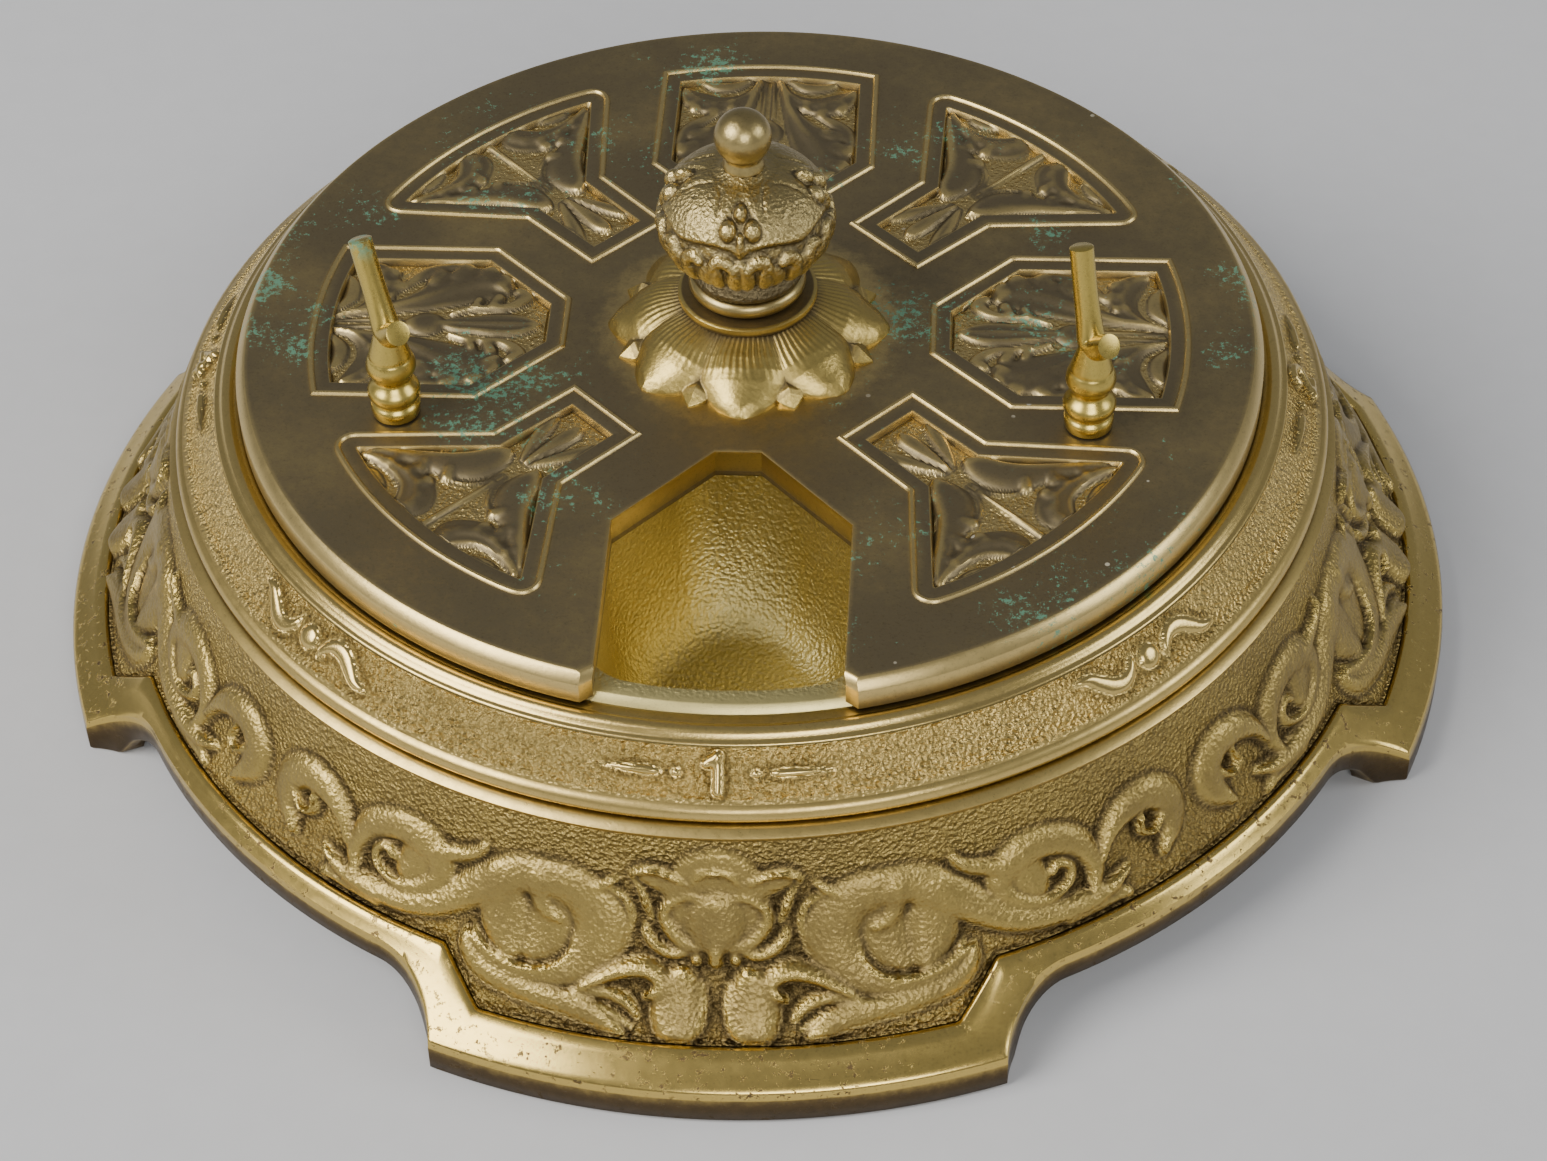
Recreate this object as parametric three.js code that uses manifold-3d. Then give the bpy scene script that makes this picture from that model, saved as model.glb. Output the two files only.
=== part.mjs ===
// Desk inkstand: a flared, lobed brass stand with four cups under a revolving lid.
// Millimetres, +Z up, origin on the table under the knob. The lid's window faces -Y.

import * as THREE from 'three';
import * as BufferGeometryUtils from 'three/addons/utils/BufferGeometryUtils.js';
import Module from 'manifold-3d';

const wasm = await Module();
wasm.setup();

// Driving dimensions: overall
const lidRadius = 62.6; // the lid sets the plan of tray, cups, band and feet
const edgeHeight = 3.8; // the flare's edge above the table, at the feet
const flareHeight = 25.6;
const flareTopDepth = 13.6; // below the lid's plane
const lidHeight = edgeHeight + flareHeight + flareTopDepth; // flat top of the lid above the table
const fit = 0.3; // clearance between pieces that seat on or in each other
const overrun = 2; // how far a cutter runs past what it cuts
const quarters = 4;
const quarter = 2 * Math.PI / quarters;

// Lid
const lidThickness = 3.2;
const lidChamfer = 1.2;
const lidRimWidth = 1.1;
const lidRimDrop = 0.7; // the rim hangs this far below the plate
const windowShoulderShare = 0.559; // from the axis to where the window's sides begin
const windowApexShare = 0.3642;
const windowHalfShare = 0.2244;
const windowApexHalfShare = 0.0439;
const windowCornerFacet = 1.4;

// Relief panels of the lid, as shares of its radius
const shieldShares = { start: 0.3594, startHalf: 0.0711, shoulder: 0.5128, half: 0.2228, end: 0.8522 };
const bellShares = {
  start: 0.365, startHalf: 0.0927, neck: 0.5599, neckHalf: 0.0966, half: 0.3059, end: 0.8466,
};
const bellCornerRadius = 2.6;
const outlineWidth = 0.8;
const outlineHeight = 0.35;
const fieldInset = 1.7; // flat strip between the raised outline and the sunk field
const fieldDepth = 0.9;

// Cast leaves in the panels' fields: runs of [outward, across, width] shares, the first two of the
// lid's radius and the last of a leaf's half width.
const leafHeight = 0.8;
const leafHalfWidth = 2.9;
const leafRootDepth = 0.3; // how deep a leaf stands in the field's floor
const shieldLeafShares = [[0.77, 0.03, 0.3], [0.62, 0.1, 1], [0.5, 0.1, 0.6]];
const bellLeafShares = [[0.57, 0.045, 0.4], [0.66, 0.06, 0.9], [0.75, 0.2, 0.3]];
const stemLeafShares = [[0.43, 0, 0.4], [0.5, 0, 0.65], [0.57, 0, 0.2]];

// Petalled boss in the lid's middle
const petals = 8;
const petalSteps = 6;
const bossHeight = 6.2;
const bossTopRadius = 8.4;
const petalTipRadius = 17.1;
const petalValleyRadius = 14.2;
const petalEdge = 0.9;
const petalRowShares = [1, 0.84, 0.66, 0.46, 0.24, 0];
const petalCurveShare = 0.6; // how much of a petal's edge is round, the rest straight

// Knob
const collarRadius = 7;
const collarHeight = 2.2;
const neckRadius = 5.4;
const neckHeight = 3.4;
const neckWaistShare = 0.33; // how high up the neck its waist begins
const bulbRadius = 10.3;
const bulbHeight = 12.2;
const bulbLobes = 8;
const bulbCrownRadius = 2.7;
const finialRingRadius = 2.9;
const finialRingHeight = 1.2;
const ballRadius = 3.4;
const ballSeatShare = 0.78; // how high over its ring the ball is centred
const spindleTipShare = 0.33; // how far up into the ball the spindle goes

// Spindle, on which lid and knob turn in the tray's hub
const spindleRadius = 2.5;
const spindleTipRadius = 1.5;
const spindleTipLength = 16;
const spindleTail = 1.6; // thread left below the nut
const hubRadius = 7.5;
const hubDepth = 13;
const bearingRadius = 8.6;
const bearingThickness = 1;
const flatWasherRadius = 6.4;
const flatWasherThickness = 1;
const springWasherRadius = 5.6;
const springWasherThickness = 0.8;
const springWasherRise = 0.7;
const nutAcrossFlats = 9.5;
const nutHeight = 4;
const nutSides = 6;

// Tray with its four cups
const trayStep = 1.2; // the tray stops this far inside the lid's edge
const trayBevel = 0.9;
const trayThickness = 3.2;
const cupRimWidth = 3;
const cupHalfShare = 0.2654; // shares of the cups' mouth radius
const cupShoulderShare = 0.565;
const cupApexShare = 0.351;
const cupApexHalfShare = 0.1027;
const cupCornerShare = 0.1113;
// Half of the cup's outer wall that stays on the mouth's circle
const cupBulgeAngle = THREE.MathUtils.degToRad(7);
const cupDepth = 23;
const cupWall = 2;

// Glass liner of one cup
const glassWall = 1.6;
const glassRecess = 0.6;

// Stand: rim ring, band, bead, flare and border
const rimThickness = 2.6;
const channelDepth = 1.2; // below the tray's ring
const channelWidth = 1.5;
const lipRise = 0.8;
const lipWidth = 1.6;
const lipGap = 0.7;
const bandWidth = 4.1; // in plan
const bandDrop = 4.6;
const beadRadius = 1.1;
const beadDrop = 3.1;
const flareStep = 2.4; // in plan, from the band to the flare's top
const flareKneeSpread = 3;
const flareKneeShare = 0.28125; // height of the flare's knee as a share of the flare's
const flareSpread = 16; // in plan, from the flare's top to the feet
const flareWall = 2;
const footWidth = 3.2;
const lineHeight = 0.45;
const lineWidth = 0.9;

// Lobed outline in plan
const lobeHalfAngle = THREE.MathUtils.degToRad(22);
const waistSpread = 9.2; // in plan, from the flare's top to the edge between the feet
const coveRadius = 13;

// Smooth raised border inside the lobed outline
const borderRise = 0.7;
const borderLobeWidth = 5;
const borderLobeHalfAngle = THREE.MathUtils.degToRad(19.2);
const borderWaistWidth = 2.3;
const borderWaistHalfAngle = THREE.MathUtils.degToRad(23.4);

// Cast scrolls on the flare: each stroke is a run of [around, down, width] shares. Around is from a
// foot's middle towards the diagonal, down is along the flare's curve, width is of a scroll's half.
const scrollHeight = 1.4;
const scrollHalfWidth = 3.1;
const scrollRootDepth = 0.6; // how deep a scroll's edges are buried in the flare
const greatScrollShares = [
  [0.77, 0.5, 0.3], [0.66, 0.53, 0.65], [0.53, 0.46, 0.75], [0.44, 0.31, 0.85], [0.345, 0.215, 0.85],
  [0.235, 0.245, 0.85], [0.19, 0.39, 0.95], [0.245, 0.56, 0.9], [0.37, 0.62, 0.7], [0.45, 0.54, 0.35],
];
const secondScrollShares = [
  [0.71, 0.5, 0.3], [0.735, 0.36, 0.75], [0.675, 0.22, 0.9], [0.56, 0.27, 0.7], [0.5, 0.23, 0.25],
];
const waistScrollShares = [[0.79, 0.37, 0.3], [0.86, 0.235, 0.7], [0.95, 0.31, 0.8], [0.925, 0.47, 0.25]];
const pendantShares = [[0.07, 0.5, 0.35], [0.062, 0.66, 1.05], [0.07, 0.755, 0.4]];
const mirroredStrokes = [greatScrollShares, secondScrollShares, waistScrollShares, pendantShares];
const palmetteShares = [[0, 0.13, 0.5], [0, 0.22, 1.75], [0, 0.34, 1.85], [0, 0.47, 0.5]];

// Lugs and screws that hold the tray
const screwInset = 4.9; // from the tray's edge
const lugReach = 3; // inwards of the screw
const lugWidth = 9;
const lugHeight = 4;
const screwRadius = 1.5;
const screwHeadRadius = 2.8;
const screwHeadHeight = 1.7;
const screwSlotWidth = 0.8;
const screwSlotDepth = 0.9;
const screwBite = 2;

// Pen rests
const restPlaceShares = { x: 0.6565, y: -0.2716 };
const restFootRadius = 2.6;
const restBeadRadius = 3.15;
const restHeight = 12.3; // lid's plane to the rod's centre over the post
const rodRadius = 1.45;
const tenonRadius = 1.5;
const stubReach = { x: 2.2, y: -2.5, z: 2.7 };
const armReach = { x: -1.3, y: 4.3, z: 11.9 };
const bendShare = 0.45; // how much of the stub the bend takes
const armBendShare = 0.225;

// Plan sizes worked out from the lid's radius
const windowShoulder = lidRadius * windowShoulderShare;
const windowApex = lidRadius * windowApexShare;
const windowHalfWidth = lidRadius * windowHalfShare;
const windowApexHalfWidth = lidRadius * windowApexHalfShare;
const shieldPanel = scaledSizes(shieldShares, lidRadius);
const bellPanel = scaledSizes(bellShares, lidRadius);
const restPlace = scaledSizes(restPlaceShares, lidRadius);
const trayRadius = lidRadius - trayStep;
const cupMouthRadius = trayRadius - cupRimWidth;
const cupHalfWidth = cupMouthRadius * cupHalfShare;
const cupShoulder = cupMouthRadius * cupShoulderShare;
const cupApex = cupMouthRadius * cupApexShare;
const cupApexHalfWidth = cupMouthRadius * cupApexHalfShare;
const cupCornerRadius = cupMouthRadius * cupCornerShare;
const screwPlace = trayRadius - screwInset;
const channelStart = trayRadius + fit;
const channelEnd = channelStart + channelWidth;
const bandStart = channelEnd + lipWidth + lipGap;
const bandEnd = bandStart + bandWidth;
const flareTopRadius = bandEnd + flareStep;
const flareKneeRadius = flareTopRadius + flareKneeSpread;
const lobeRadius = flareTopRadius + flareSpread;
const waistRadius = flareTopRadius + waistSpread;

// Facets
const roundSteps = 40;
const smallSteps = 12;
const bearingSteps = 20;
const ballRows = 7;
const cornerSteps = 2;
const bulbLobeSteps = 4;
const flareSteps = 4;
const lobeSteps = 8;
const coveSteps = 3;
const waistSteps = 4;
const beadSteps = 3;
const panelEndSteps = 4;
const collarSteps = 5;
const rodSteps = 11;
const rodSides = 10;

// Heights worked out from the sizes above
const lidUnder = lidHeight - lidThickness;
const trayTop = lidUnder - fit;
const trayUnder = trayTop - trayThickness;
const channelFloor = trayTop - channelDepth;
const bossTop = lidHeight + bossHeight;
const collarTop = bossTop + fit + collarHeight;
const neckBottom = collarTop + fit;
const bulbTop = neckBottom + neckHeight + bulbHeight;
const ballCentre = bulbTop + fit + finialRingHeight + ballRadius * ballSeatShare;
const bearingSeat = trayTop - fit - bearingThickness;
const hubUnder = trayUnder - hubDepth;

// Finishes
const brass = new THREE.MeshStandardMaterial({ color: 0x9a7a3c, roughness: 0.42, metalness: 1 });
const brightBrass = new THREE.MeshStandardMaterial({ color: 0xb8964a, roughness: 0.3, metalness: 1 });
const darkBrass = new THREE.MeshStandardMaterial({ color: 0x5e4d2c, roughness: 0.45, metalness: 1 });
const steel = new THREE.MeshStandardMaterial({ color: 0x6a6a66, roughness: 0.5, metalness: 1 });
const glass = new THREE.MeshStandardMaterial({ color: 0xcfe0d6, roughness: 0.08, metalness: 0 });

// Solids from geometries and back

function scaledSizes(shares, size) {
  return Object.fromEntries(Object.entries(shares).map(([key, share]) => [key, share * size]));
}

function closedSolid(geometry) {
  const bare = geometry.clone();
  bare.deleteAttribute('normal');
  bare.deleteAttribute('uv');
  const welded = BufferGeometryUtils.mergeVertices(bare);
  const corners = welded.index.array;
  const kept = [];
  for (let i = 0; i < corners.length; i += 3) {
    const [a, b, c] = [corners[i], corners[i + 1], corners[i + 2]];
    if (a !== b && b !== c && c !== a) kept.push(a, b, c);
  }
  const vertProperties = new Float32Array(welded.attributes.position.array);
  const solid = () => new wasm.Manifold(new wasm.Mesh({
    numProp: 3, vertProperties, triVerts: new Uint32Array(kept),
  }));
  const made = solid();
  if (made.volume() > 0) return made;
  kept.reverse();
  return solid();
}

function geometryOf(manifold) {
  const mesh = manifold.getMesh();
  const geometry = new THREE.BufferGeometry();
  const positions = new Float32Array(mesh.vertProperties);
  geometry.setAttribute('position', new THREE.BufferAttribute(positions, mesh.numProp));
  geometry.setIndex(new THREE.BufferAttribute(new Uint32Array(mesh.triVerts), 1));
  geometry.computeVertexNormals();
  return geometry;
}

// A turned form about the vertical axis; the profile's points are [radius, height] pairs.
function revolve(profile, steps = roundSteps, closed = true) {
  const points = profile.map(([radius, height]) => new THREE.Vector2(radius, height));
  if (closed) points.push(points[0].clone());
  const geometry = new THREE.LatheGeometry(points, steps);
  geometry.rotateX(Math.PI / 2);
  return closedSolid(geometry);
}

// A plan outline of [x, y] pairs, raised between two heights.
function prism(outline, low, high) {
  const shape = new THREE.Shape(outline.map(([x, y]) => new THREE.Vector2(x, y)));
  const geometry = new THREE.ExtrudeGeometry(shape, { depth: high - low, bevelEnabled: false });
  geometry.translate(0, 0, low);
  return closedSolid(geometry);
}

function cylinder(radius, low, high, steps = smallSteps) {
  return revolve([[0, low], [radius, low], [radius, high], [0, high]], steps, false);
}

// Rings of [x, y, z] points with equal counts, joined from the first to the last and capped.
function loft(rings) {
  const count = rings[0].length;
  const points = rings.flat();
  const triangles = [];
  for (let k = 0; k + 1 < rings.length; k++) {
    for (let i = 0; i < count; i++) {
      const next = (i + 1) % count;
      const [a, b] = [k * count + i, k * count + next];
      triangles.push(a, b, b + count, a, b + count, a + count);
    }
  }
  for (const [k, turned] of [[0, true], [rings.length - 1, false]]) {
    const hub = points.length;
    points.push(meanPoint(rings[k]));
    for (let i = 0; i < count; i++) {
      const edge = [k * count + i, k * count + (i + 1) % count];
      if (turned) edge.reverse();
      triangles.push(hub, ...edge);
    }
  }
  const geometry = new THREE.BufferGeometry();
  geometry.setAttribute('position', new THREE.BufferAttribute(new Float32Array(points.flat()), 3));
  geometry.setIndex(triangles);
  return closedSolid(geometry);
}

function meanPoint(ring) {
  return [0, 1, 2].map((axis) => ring.reduce((sum, point) => sum + point[axis], 0) / ring.length);
}

// Plan outlines

function polar(radius, angle) {
  return [radius * Math.cos(angle), radius * Math.sin(angle)];
}

function arc(centre, radius, from, to, steps) {
  const points = [];
  for (let i = 0; i <= steps; i++) {
    const [x, y] = polar(radius, from + (to - from) * i / steps);
    points.push([centre[0] + x, centre[1] + y]);
  }
  return points;
}

// The outline moved inwards by a distance, or outwards by a negative one; it runs anticlockwise.
function inset(outline, distance) {
  const count = outline.length;
  return outline.map((point, i) => {
    const before = outline[(i + count - 1) % count];
    const after = outline[(i + 1) % count];
    const [a, b] = [edgeNormal(before, point), edgeNormal(point, after)];
    const spread = 1 + a[0] * b[0] + a[1] * b[1];
    return [point[0] + distance * (a[0] + b[0]) / spread, point[1] + distance * (a[1] + b[1]) / spread];
  });
}

function edgeNormal(from, to) {
  const [x, y] = [to[0] - from[0], to[1] - from[1]];
  const length = Math.hypot(x, y);
  return [-y / length, x / length];
}

// Corners given as [x, y, radius], each replaced by an arc of that radius.
function rounded(corners, steps) {
  const count = corners.length;
  return corners.flatMap(([x, y, radius], i) => {
    if (!radius) return [[x, y]];
    const here = new THREE.Vector2(x, y);
    const toward = [corners[(i + count - 1) % count], corners[(i + 1) % count]]
      .map(([cx, cy]) => new THREE.Vector2(cx, cy).sub(here).normalize());
    const half = toward[0].angleTo(toward[1]) / 2;
    const bisector = toward[0].clone().add(toward[1]).normalize();
    const centre = here.clone().addScaledVector(bisector, radius / Math.sin(half));
    const touch = toward.map((way) => here.clone().addScaledVector(way, radius / Math.tan(half)));
    const from = Math.atan2(touch[0].y - centre.y, touch[0].x - centre.x);
    const sweep = Math.atan2(touch[1].y - centre.y, touch[1].x - centre.x) - from;
    const turn = Math.atan2(Math.sin(sweep), Math.cos(sweep));
    return arc([centre.x, centre.y], radius, from, from + turn, steps);
  });
}

// A form made along +X, turned to face another direction.
function faced(manifold, angle) {
  return manifold.rotate([0, 0, THREE.MathUtils.radToDeg(angle)]);
}

const front = -quarter;
const windowOutline = lidWindowOutline();

// Stand

function coveCentre() {
  const away = waistRadius + coveRadius;
  const spread = Math.acos((away ** 2 + lobeRadius ** 2 - coveRadius ** 2) / (2 * away * lobeRadius));
  return { away, angle: lobeHalfAngle + spread };
}

function lobedOutline() {
  const cove = coveCentre();
  const points = [];
  for (let i = 0; i < quarters; i++) {
    const middle = i * quarter;
    points.push(...arc([0, 0], lobeRadius, middle - lobeHalfAngle, middle + lobeHalfAngle, lobeSteps));
    const centre = polar(cove.away, middle + cove.angle);
    const corner = polar(lobeRadius, middle + lobeHalfAngle);
    const from = Math.atan2(corner[1] - centre[1], corner[0] - centre[0]);
    const to = middle + cove.angle - Math.PI;
    const turn = Math.atan2(Math.sin(to - from), Math.cos(to - from));
    const coveIn = arc(centre, coveRadius, from, from + turn, coveSteps);
    const waistFrom = middle + cove.angle;
    const waistTo = middle + quarter - cove.angle;
    const waist = arc([0, 0], waistRadius, waistFrom, waistTo, waistSteps);
    const mirrored = coveIn.map((point) => mirrorAcross(point, middle + quarter / 2)).reverse();
    points.push(...coveIn.slice(1, -1), ...waist, ...mirrored.slice(1, -1));
  }
  return points;
}

function mirrorAcross([x, y], angle) {
  const [c, s] = [Math.cos(2 * angle), Math.sin(2 * angle)];
  return [x * c + y * s, x * s - y * c];
}

function borderInnerOutline() {
  const points = [];
  for (let i = 0; i < quarters; i++) {
    const middle = i * quarter;
    const half = borderLobeHalfAngle;
    points.push(...arc([0, 0], lobeRadius - borderLobeWidth, middle - half, middle + half, lobeSteps));
    const from = middle + borderWaistHalfAngle;
    const to = middle + quarter - borderWaistHalfAngle;
    points.push(...arc([0, 0], waistRadius - borderWaistWidth, from, to, waistSteps));
  }
  return points;
}

// The flare's outer face from the fine line down to the feet, and its [radius, height] pairs.
function flareCurve() {
  return new THREE.QuadraticBezierCurve(
    new THREE.Vector2(flareTopRadius, edgeHeight + flareHeight),
    new THREE.Vector2(flareKneeRadius, edgeHeight + flareHeight * flareKneeShare),
    new THREE.Vector2(lobeRadius, edgeHeight),
  );
}

function flareProfile() {
  return flareCurve().getPoints(flareSteps).map((point) => [point.x, point.y]);
}

// An open profile moved sideways from its direction of travel.
function shifted(profile, distance) {
  return profile.map((point, i) => {
    const before = profile[Math.max(i - 1, 0)];
    const after = profile[Math.min(i + 1, profile.length - 1)];
    const normal = edgeNormal(before, after);
    return [point[0] + normal[0] * distance, point[1] + normal[1] * distance];
  });
}

function standProfile() {
  const lipTop = channelFloor + lipRise;
  const bandTop = channelFloor - fit / 2;
  const bandLow = bandTop - bandDrop;
  const beadCentre = [bandEnd + fit, bandLow - beadDrop / 2];
  const bead = arc(beadCentre, beadRadius, Math.PI / 2, -Math.PI / 2, beadSteps);
  const flare = flareProfile();
  const line = [flareTopRadius - lineWidth / 2, lidHeight - flareTopDepth + lineWidth];
  const outer = [
    [channelStart, channelFloor],
    [channelEnd, channelFloor],
    [channelEnd + lipWidth / 4, lipTop - lipRise / 4],
    [channelEnd + lipWidth / 2, lipTop],
    [channelEnd + lipWidth, lipTop - lipRise / 4],
    [bandStart, bandTop],
    [bandEnd, bandLow],
    ...bead,
    line,
    [flareTopRadius + lineHeight / 2, lidHeight - flareTopDepth + lineWidth / 2],
    ...flare,
  ];
  const underFlare = shifted(flare, -flareWall).slice(0, -2);
  const ringUnder = trayUnder - fit - rimThickness / 2;
  const inner = [
    [channelStart, ringUnder],
    [bandStart - rimThickness / 2, ringUnder],
    [bandEnd - rimThickness, bandLow - rimThickness / 2],
    [underFlare[0][0], bandLow - beadDrop - rimThickness / 2],
    ...underFlare,
    [lobeRadius - footWidth, 0],
    [lobeRadius + overrun, 0],
    [lobeRadius + overrun, flare.at(-1)[1]],
  ];
  return [...inner, ...outer.reverse()];
}

function standBorder() {
  const flare = flareProfile();
  const top = shifted(flare, borderRise);
  const edge = [lobeRadius + overrun, top.at(-1)[1]];
  const under = shifted(flare, -flareWall / 2);
  const profile = [...under, [lobeRadius + overrun, under.at(-1)[1]], edge, ...top.reverse()];
  return revolve(profile).subtract(prism(borderInnerOutline(), -overrun, lidHeight));
}

// A point on the flare's outer face, by its shares round from a foot's middle and down the curve.
function onFlare(around, down) {
  const curve = flareCurve();
  const { x: radius, y: height } = curve.getPointAt(down);
  const along = curve.getTangentAt(down);
  const angle = around * quarter / 2;
  const [x, y] = polar(radius, angle);
  return {
    place: new THREE.Vector3(x, y, height),
    normal: new THREE.Vector3(-along.y * Math.cos(angle), -along.y * Math.sin(angle), along.x),
  };
}

// One cast stroke with a ridge along its middle and its edges buried in the flare.
function scrollStroke(rows) {
  const stops = rows.map(([around, down]) => onFlare(around, down));
  const rings = stops.map(({ place, normal }, i) => {
    const before = stops[Math.max(i - 1, 0)].place;
    const after = stops[Math.min(i + 1, stops.length - 1)].place;
    const aside = after.clone().sub(before).cross(normal).normalize();
    const half = scrollHalfWidth * rows[i][2];
    const rise = scrollHeight * Math.sqrt(rows[i][2]);
    const at = (across, up) => place.clone().addScaledVector(aside, across)
      .addScaledVector(normal, up).toArray();
    return [at(-half, -scrollRootDepth), at(0, rise), at(half, -scrollRootDepth)];
  });
  return loft(rings);
}

function castScrolls() {
  const mirrored = (rows) => rows.map(([around, down, width]) => [-around, down, width]);
  let scrolls = scrollStroke(palmetteShares);
  for (const rows of mirroredStrokes) {
    scrolls = scrolls.add(scrollStroke(rows)).add(scrollStroke(mirrored(rows)));
  }
  return scrolls;
}

function standLug() {
  const top = trayUnder - fit;
  const [near, far, half] = [screwPlace - lugReach, bandStart, lugWidth / 2];
  const outline = [[near, -half], [far, -half], [far, half], [near, half]];
  return prism(outline, top - lugHeight, top);
}

function standSkirt() {
  let skirt = revolve(standProfile()).add(standBorder());
  skirt = skirt.intersect(prism(lobedOutline(), -overrun, lidHeight));
  const screwHole = cylinder(screwRadius + fit, 0, lidHeight, smallSteps / 2).translate([screwPlace, 0, 0]);
  for (let i = 0; i < quarters; i++) {
    const way = (i + 0.5) * quarter;
    skirt = skirt.add(faced(standLug(), way)).subtract(faced(screwHole, way));
    skirt = skirt.add(faced(castScrolls(), i * quarter));
  }
  return skirt;
}

// Tray

function cupOutline() {
  const side = Math.sqrt(cupMouthRadius ** 2 - cupHalfWidth ** 2);
  const bulge = arc([0, 0], cupMouthRadius, -cupBulgeAngle, cupBulgeAngle, cornerSteps)
    .map((point) => [...point, 0]);
  return rounded([
    [cupApex, -cupApexHalfWidth, cupCornerRadius],
    [cupShoulder, -cupHalfWidth, cupCornerRadius],
    [side, -cupHalfWidth, cupCornerRadius],
    ...bulge,
    [side, cupHalfWidth, cupCornerRadius],
    [cupShoulder, cupHalfWidth, cupCornerRadius],
    [cupApex, cupApexHalfWidth, cupCornerRadius],
  ], cornerSteps);
}

// How the cup's outline draws in with depth, from its mouth to its floor.
const cupDepthShares = [0, 0.45, 0.75, 0.92, 1];
const cupWidthShares = [1, 0.98, 0.9, 0.77, 0.56];

function cupForm(outline, mouth, depth) {
  const centre = [(cupApex + cupMouthRadius) / 2, 0];
  const rings = cupDepthShares.map((share, i) => outline.map(([x, y]) => [
    centre[0] + (x - centre[0]) * cupWidthShares[i],
    y * cupWidthShares[i],
    mouth - share * depth,
  ]));
  const lip = outline.map(([x, y]) => [x, y, mouth + overrun]);
  return loft([...rings.reverse(), lip]);
}

function cellTray() {
  const profile = [
    [0, trayUnder],
    [trayRadius, trayUnder],
    [trayRadius, trayTop - trayBevel],
    [trayRadius - trayBevel, trayTop],
    [0, trayTop],
  ];
  let tray = revolve(profile, roundSteps, false).add(cylinder(hubRadius, hubUnder, trayTop));
  const cupShell = cupForm(inset(cupOutline(), -cupWall), trayTop, cupDepth + cupWall)
    .subtract(prism(square(lobeRadius), trayTop - fit, lidHeight));
  const cupHollow = cupForm(cupOutline(), trayTop, cupDepth);
  const screwSeat = cylinder(screwRadius + fit, trayUnder - overrun, trayUnder + screwBite, smallSteps / 2);
  for (let i = 0; i < quarters; i++) tray = tray.add(faced(cupShell, i * quarter));
  for (let i = 0; i < quarters; i++) {
    tray = tray.subtract(faced(cupHollow, i * quarter));
    tray = tray.subtract(faced(screwSeat.translate([screwPlace, 0, 0]), (i + 0.5) * quarter));
  }
  const bearingRecess = cylinder(bearingRadius + fit, bearingSeat, lidHeight, bearingSteps);
  return tray.subtract(bearingRecess).subtract(cylinder(spindleRadius + fit, 0, lidHeight));
}

function square(half) {
  return [[-half, -half], [half, -half], [half, half], [-half, half]];
}

function inkGlass() {
  const outer = inset(cupOutline(), fit);
  const mouth = trayTop - glassRecess;
  const depth = cupDepth - glassRecess - fit;
  const shell = cupForm(outer, mouth, depth).subtract(prism(square(lobeRadius), mouth, lidHeight));
  const hollow = cupForm(inset(outer, glassWall), mouth, depth - glassWall);
  return faced(shell.subtract(hollow), 2 * quarter);
}

function trayScrew() {
  const top = trayUnder + screwBite - fit;
  const seat = trayUnder - fit - lugHeight - fit;
  const profile = [
    [0, seat - screwHeadHeight],
    [screwHeadRadius / 2, seat - screwHeadHeight],
    [screwHeadRadius, seat - screwHeadHeight / 2],
    [screwHeadRadius, seat],
    [screwRadius, seat],
    [screwRadius, top],
    [0, top],
  ];
  const slot = prism(
    [[-screwHeadRadius, -screwSlotWidth / 2], [screwHeadRadius, -screwSlotWidth / 2],
      [screwHeadRadius, screwSlotWidth / 2], [-screwHeadRadius, screwSlotWidth / 2]],
    seat - screwHeadHeight - overrun, seat - screwHeadHeight + screwSlotDepth);
  return revolve(profile, smallSteps / 2, false).subtract(slot).translate([screwPlace, 0, 0]);
}

// Lid

function lidWindowOutline() {
  const sideEnd = Math.sqrt(lidRadius ** 2 - windowHalfWidth ** 2);
  const facet = windowCornerFacet;
  return [
    [windowApex, windowApexHalfWidth],
    [windowApex, -windowApexHalfWidth],
    [windowShoulder, -windowHalfWidth],
    [sideEnd - facet, -windowHalfWidth],
    [sideEnd + facet, -windowHalfWidth - 2 * facet],
    [lidRadius + overrun, -windowHalfWidth - 2 * facet],
    [lidRadius + overrun, windowHalfWidth + 2 * facet],
    [sideEnd + facet, windowHalfWidth + 2 * facet],
    [sideEnd - facet, windowHalfWidth],
    [windowShoulder, windowHalfWidth],
  ];
}

function shieldOutline({ start, startHalf, shoulder, half, end }) {
  const spread = Math.asin(half / end);
  return [
    [start, startHalf], [start, -startHalf], [shoulder, -half],
    ...arc([0, 0], end, -spread, spread, panelEndSteps),
    [shoulder, half],
  ];
}

function bellOutline({ start, startHalf, neck, neckHalf, half, end }) {
  const spread = Math.asin(half / end);
  const rim = arc([0, 0], end, -spread, spread, panelEndSteps);
  return rounded([
    [start, startHalf, 0], [start, -startHalf, 0], [neck, -neckHalf, 0],
    [...rim[0], bellCornerRadius],
    ...rim.slice(1, -1).map((point) => [...point, 0]),
    [...rim.at(-1), bellCornerRadius],
    [neck, neckHalf, 0],
  ], cornerSteps);
}

function panelFrame(outline) {
  const frame = prism(inset(outline, -outlineWidth / 2), lidHeight - fieldDepth, lidHeight + outlineHeight);
  return frame.subtract(prism(inset(outline, outlineWidth / 2), lidHeight, lidHeight + overrun));
}

function panelField(outline) {
  const field = inset(outline, outlineWidth / 2 + fieldInset);
  return prism(field, lidHeight - fieldDepth, lidHeight + overrun);
}

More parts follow.
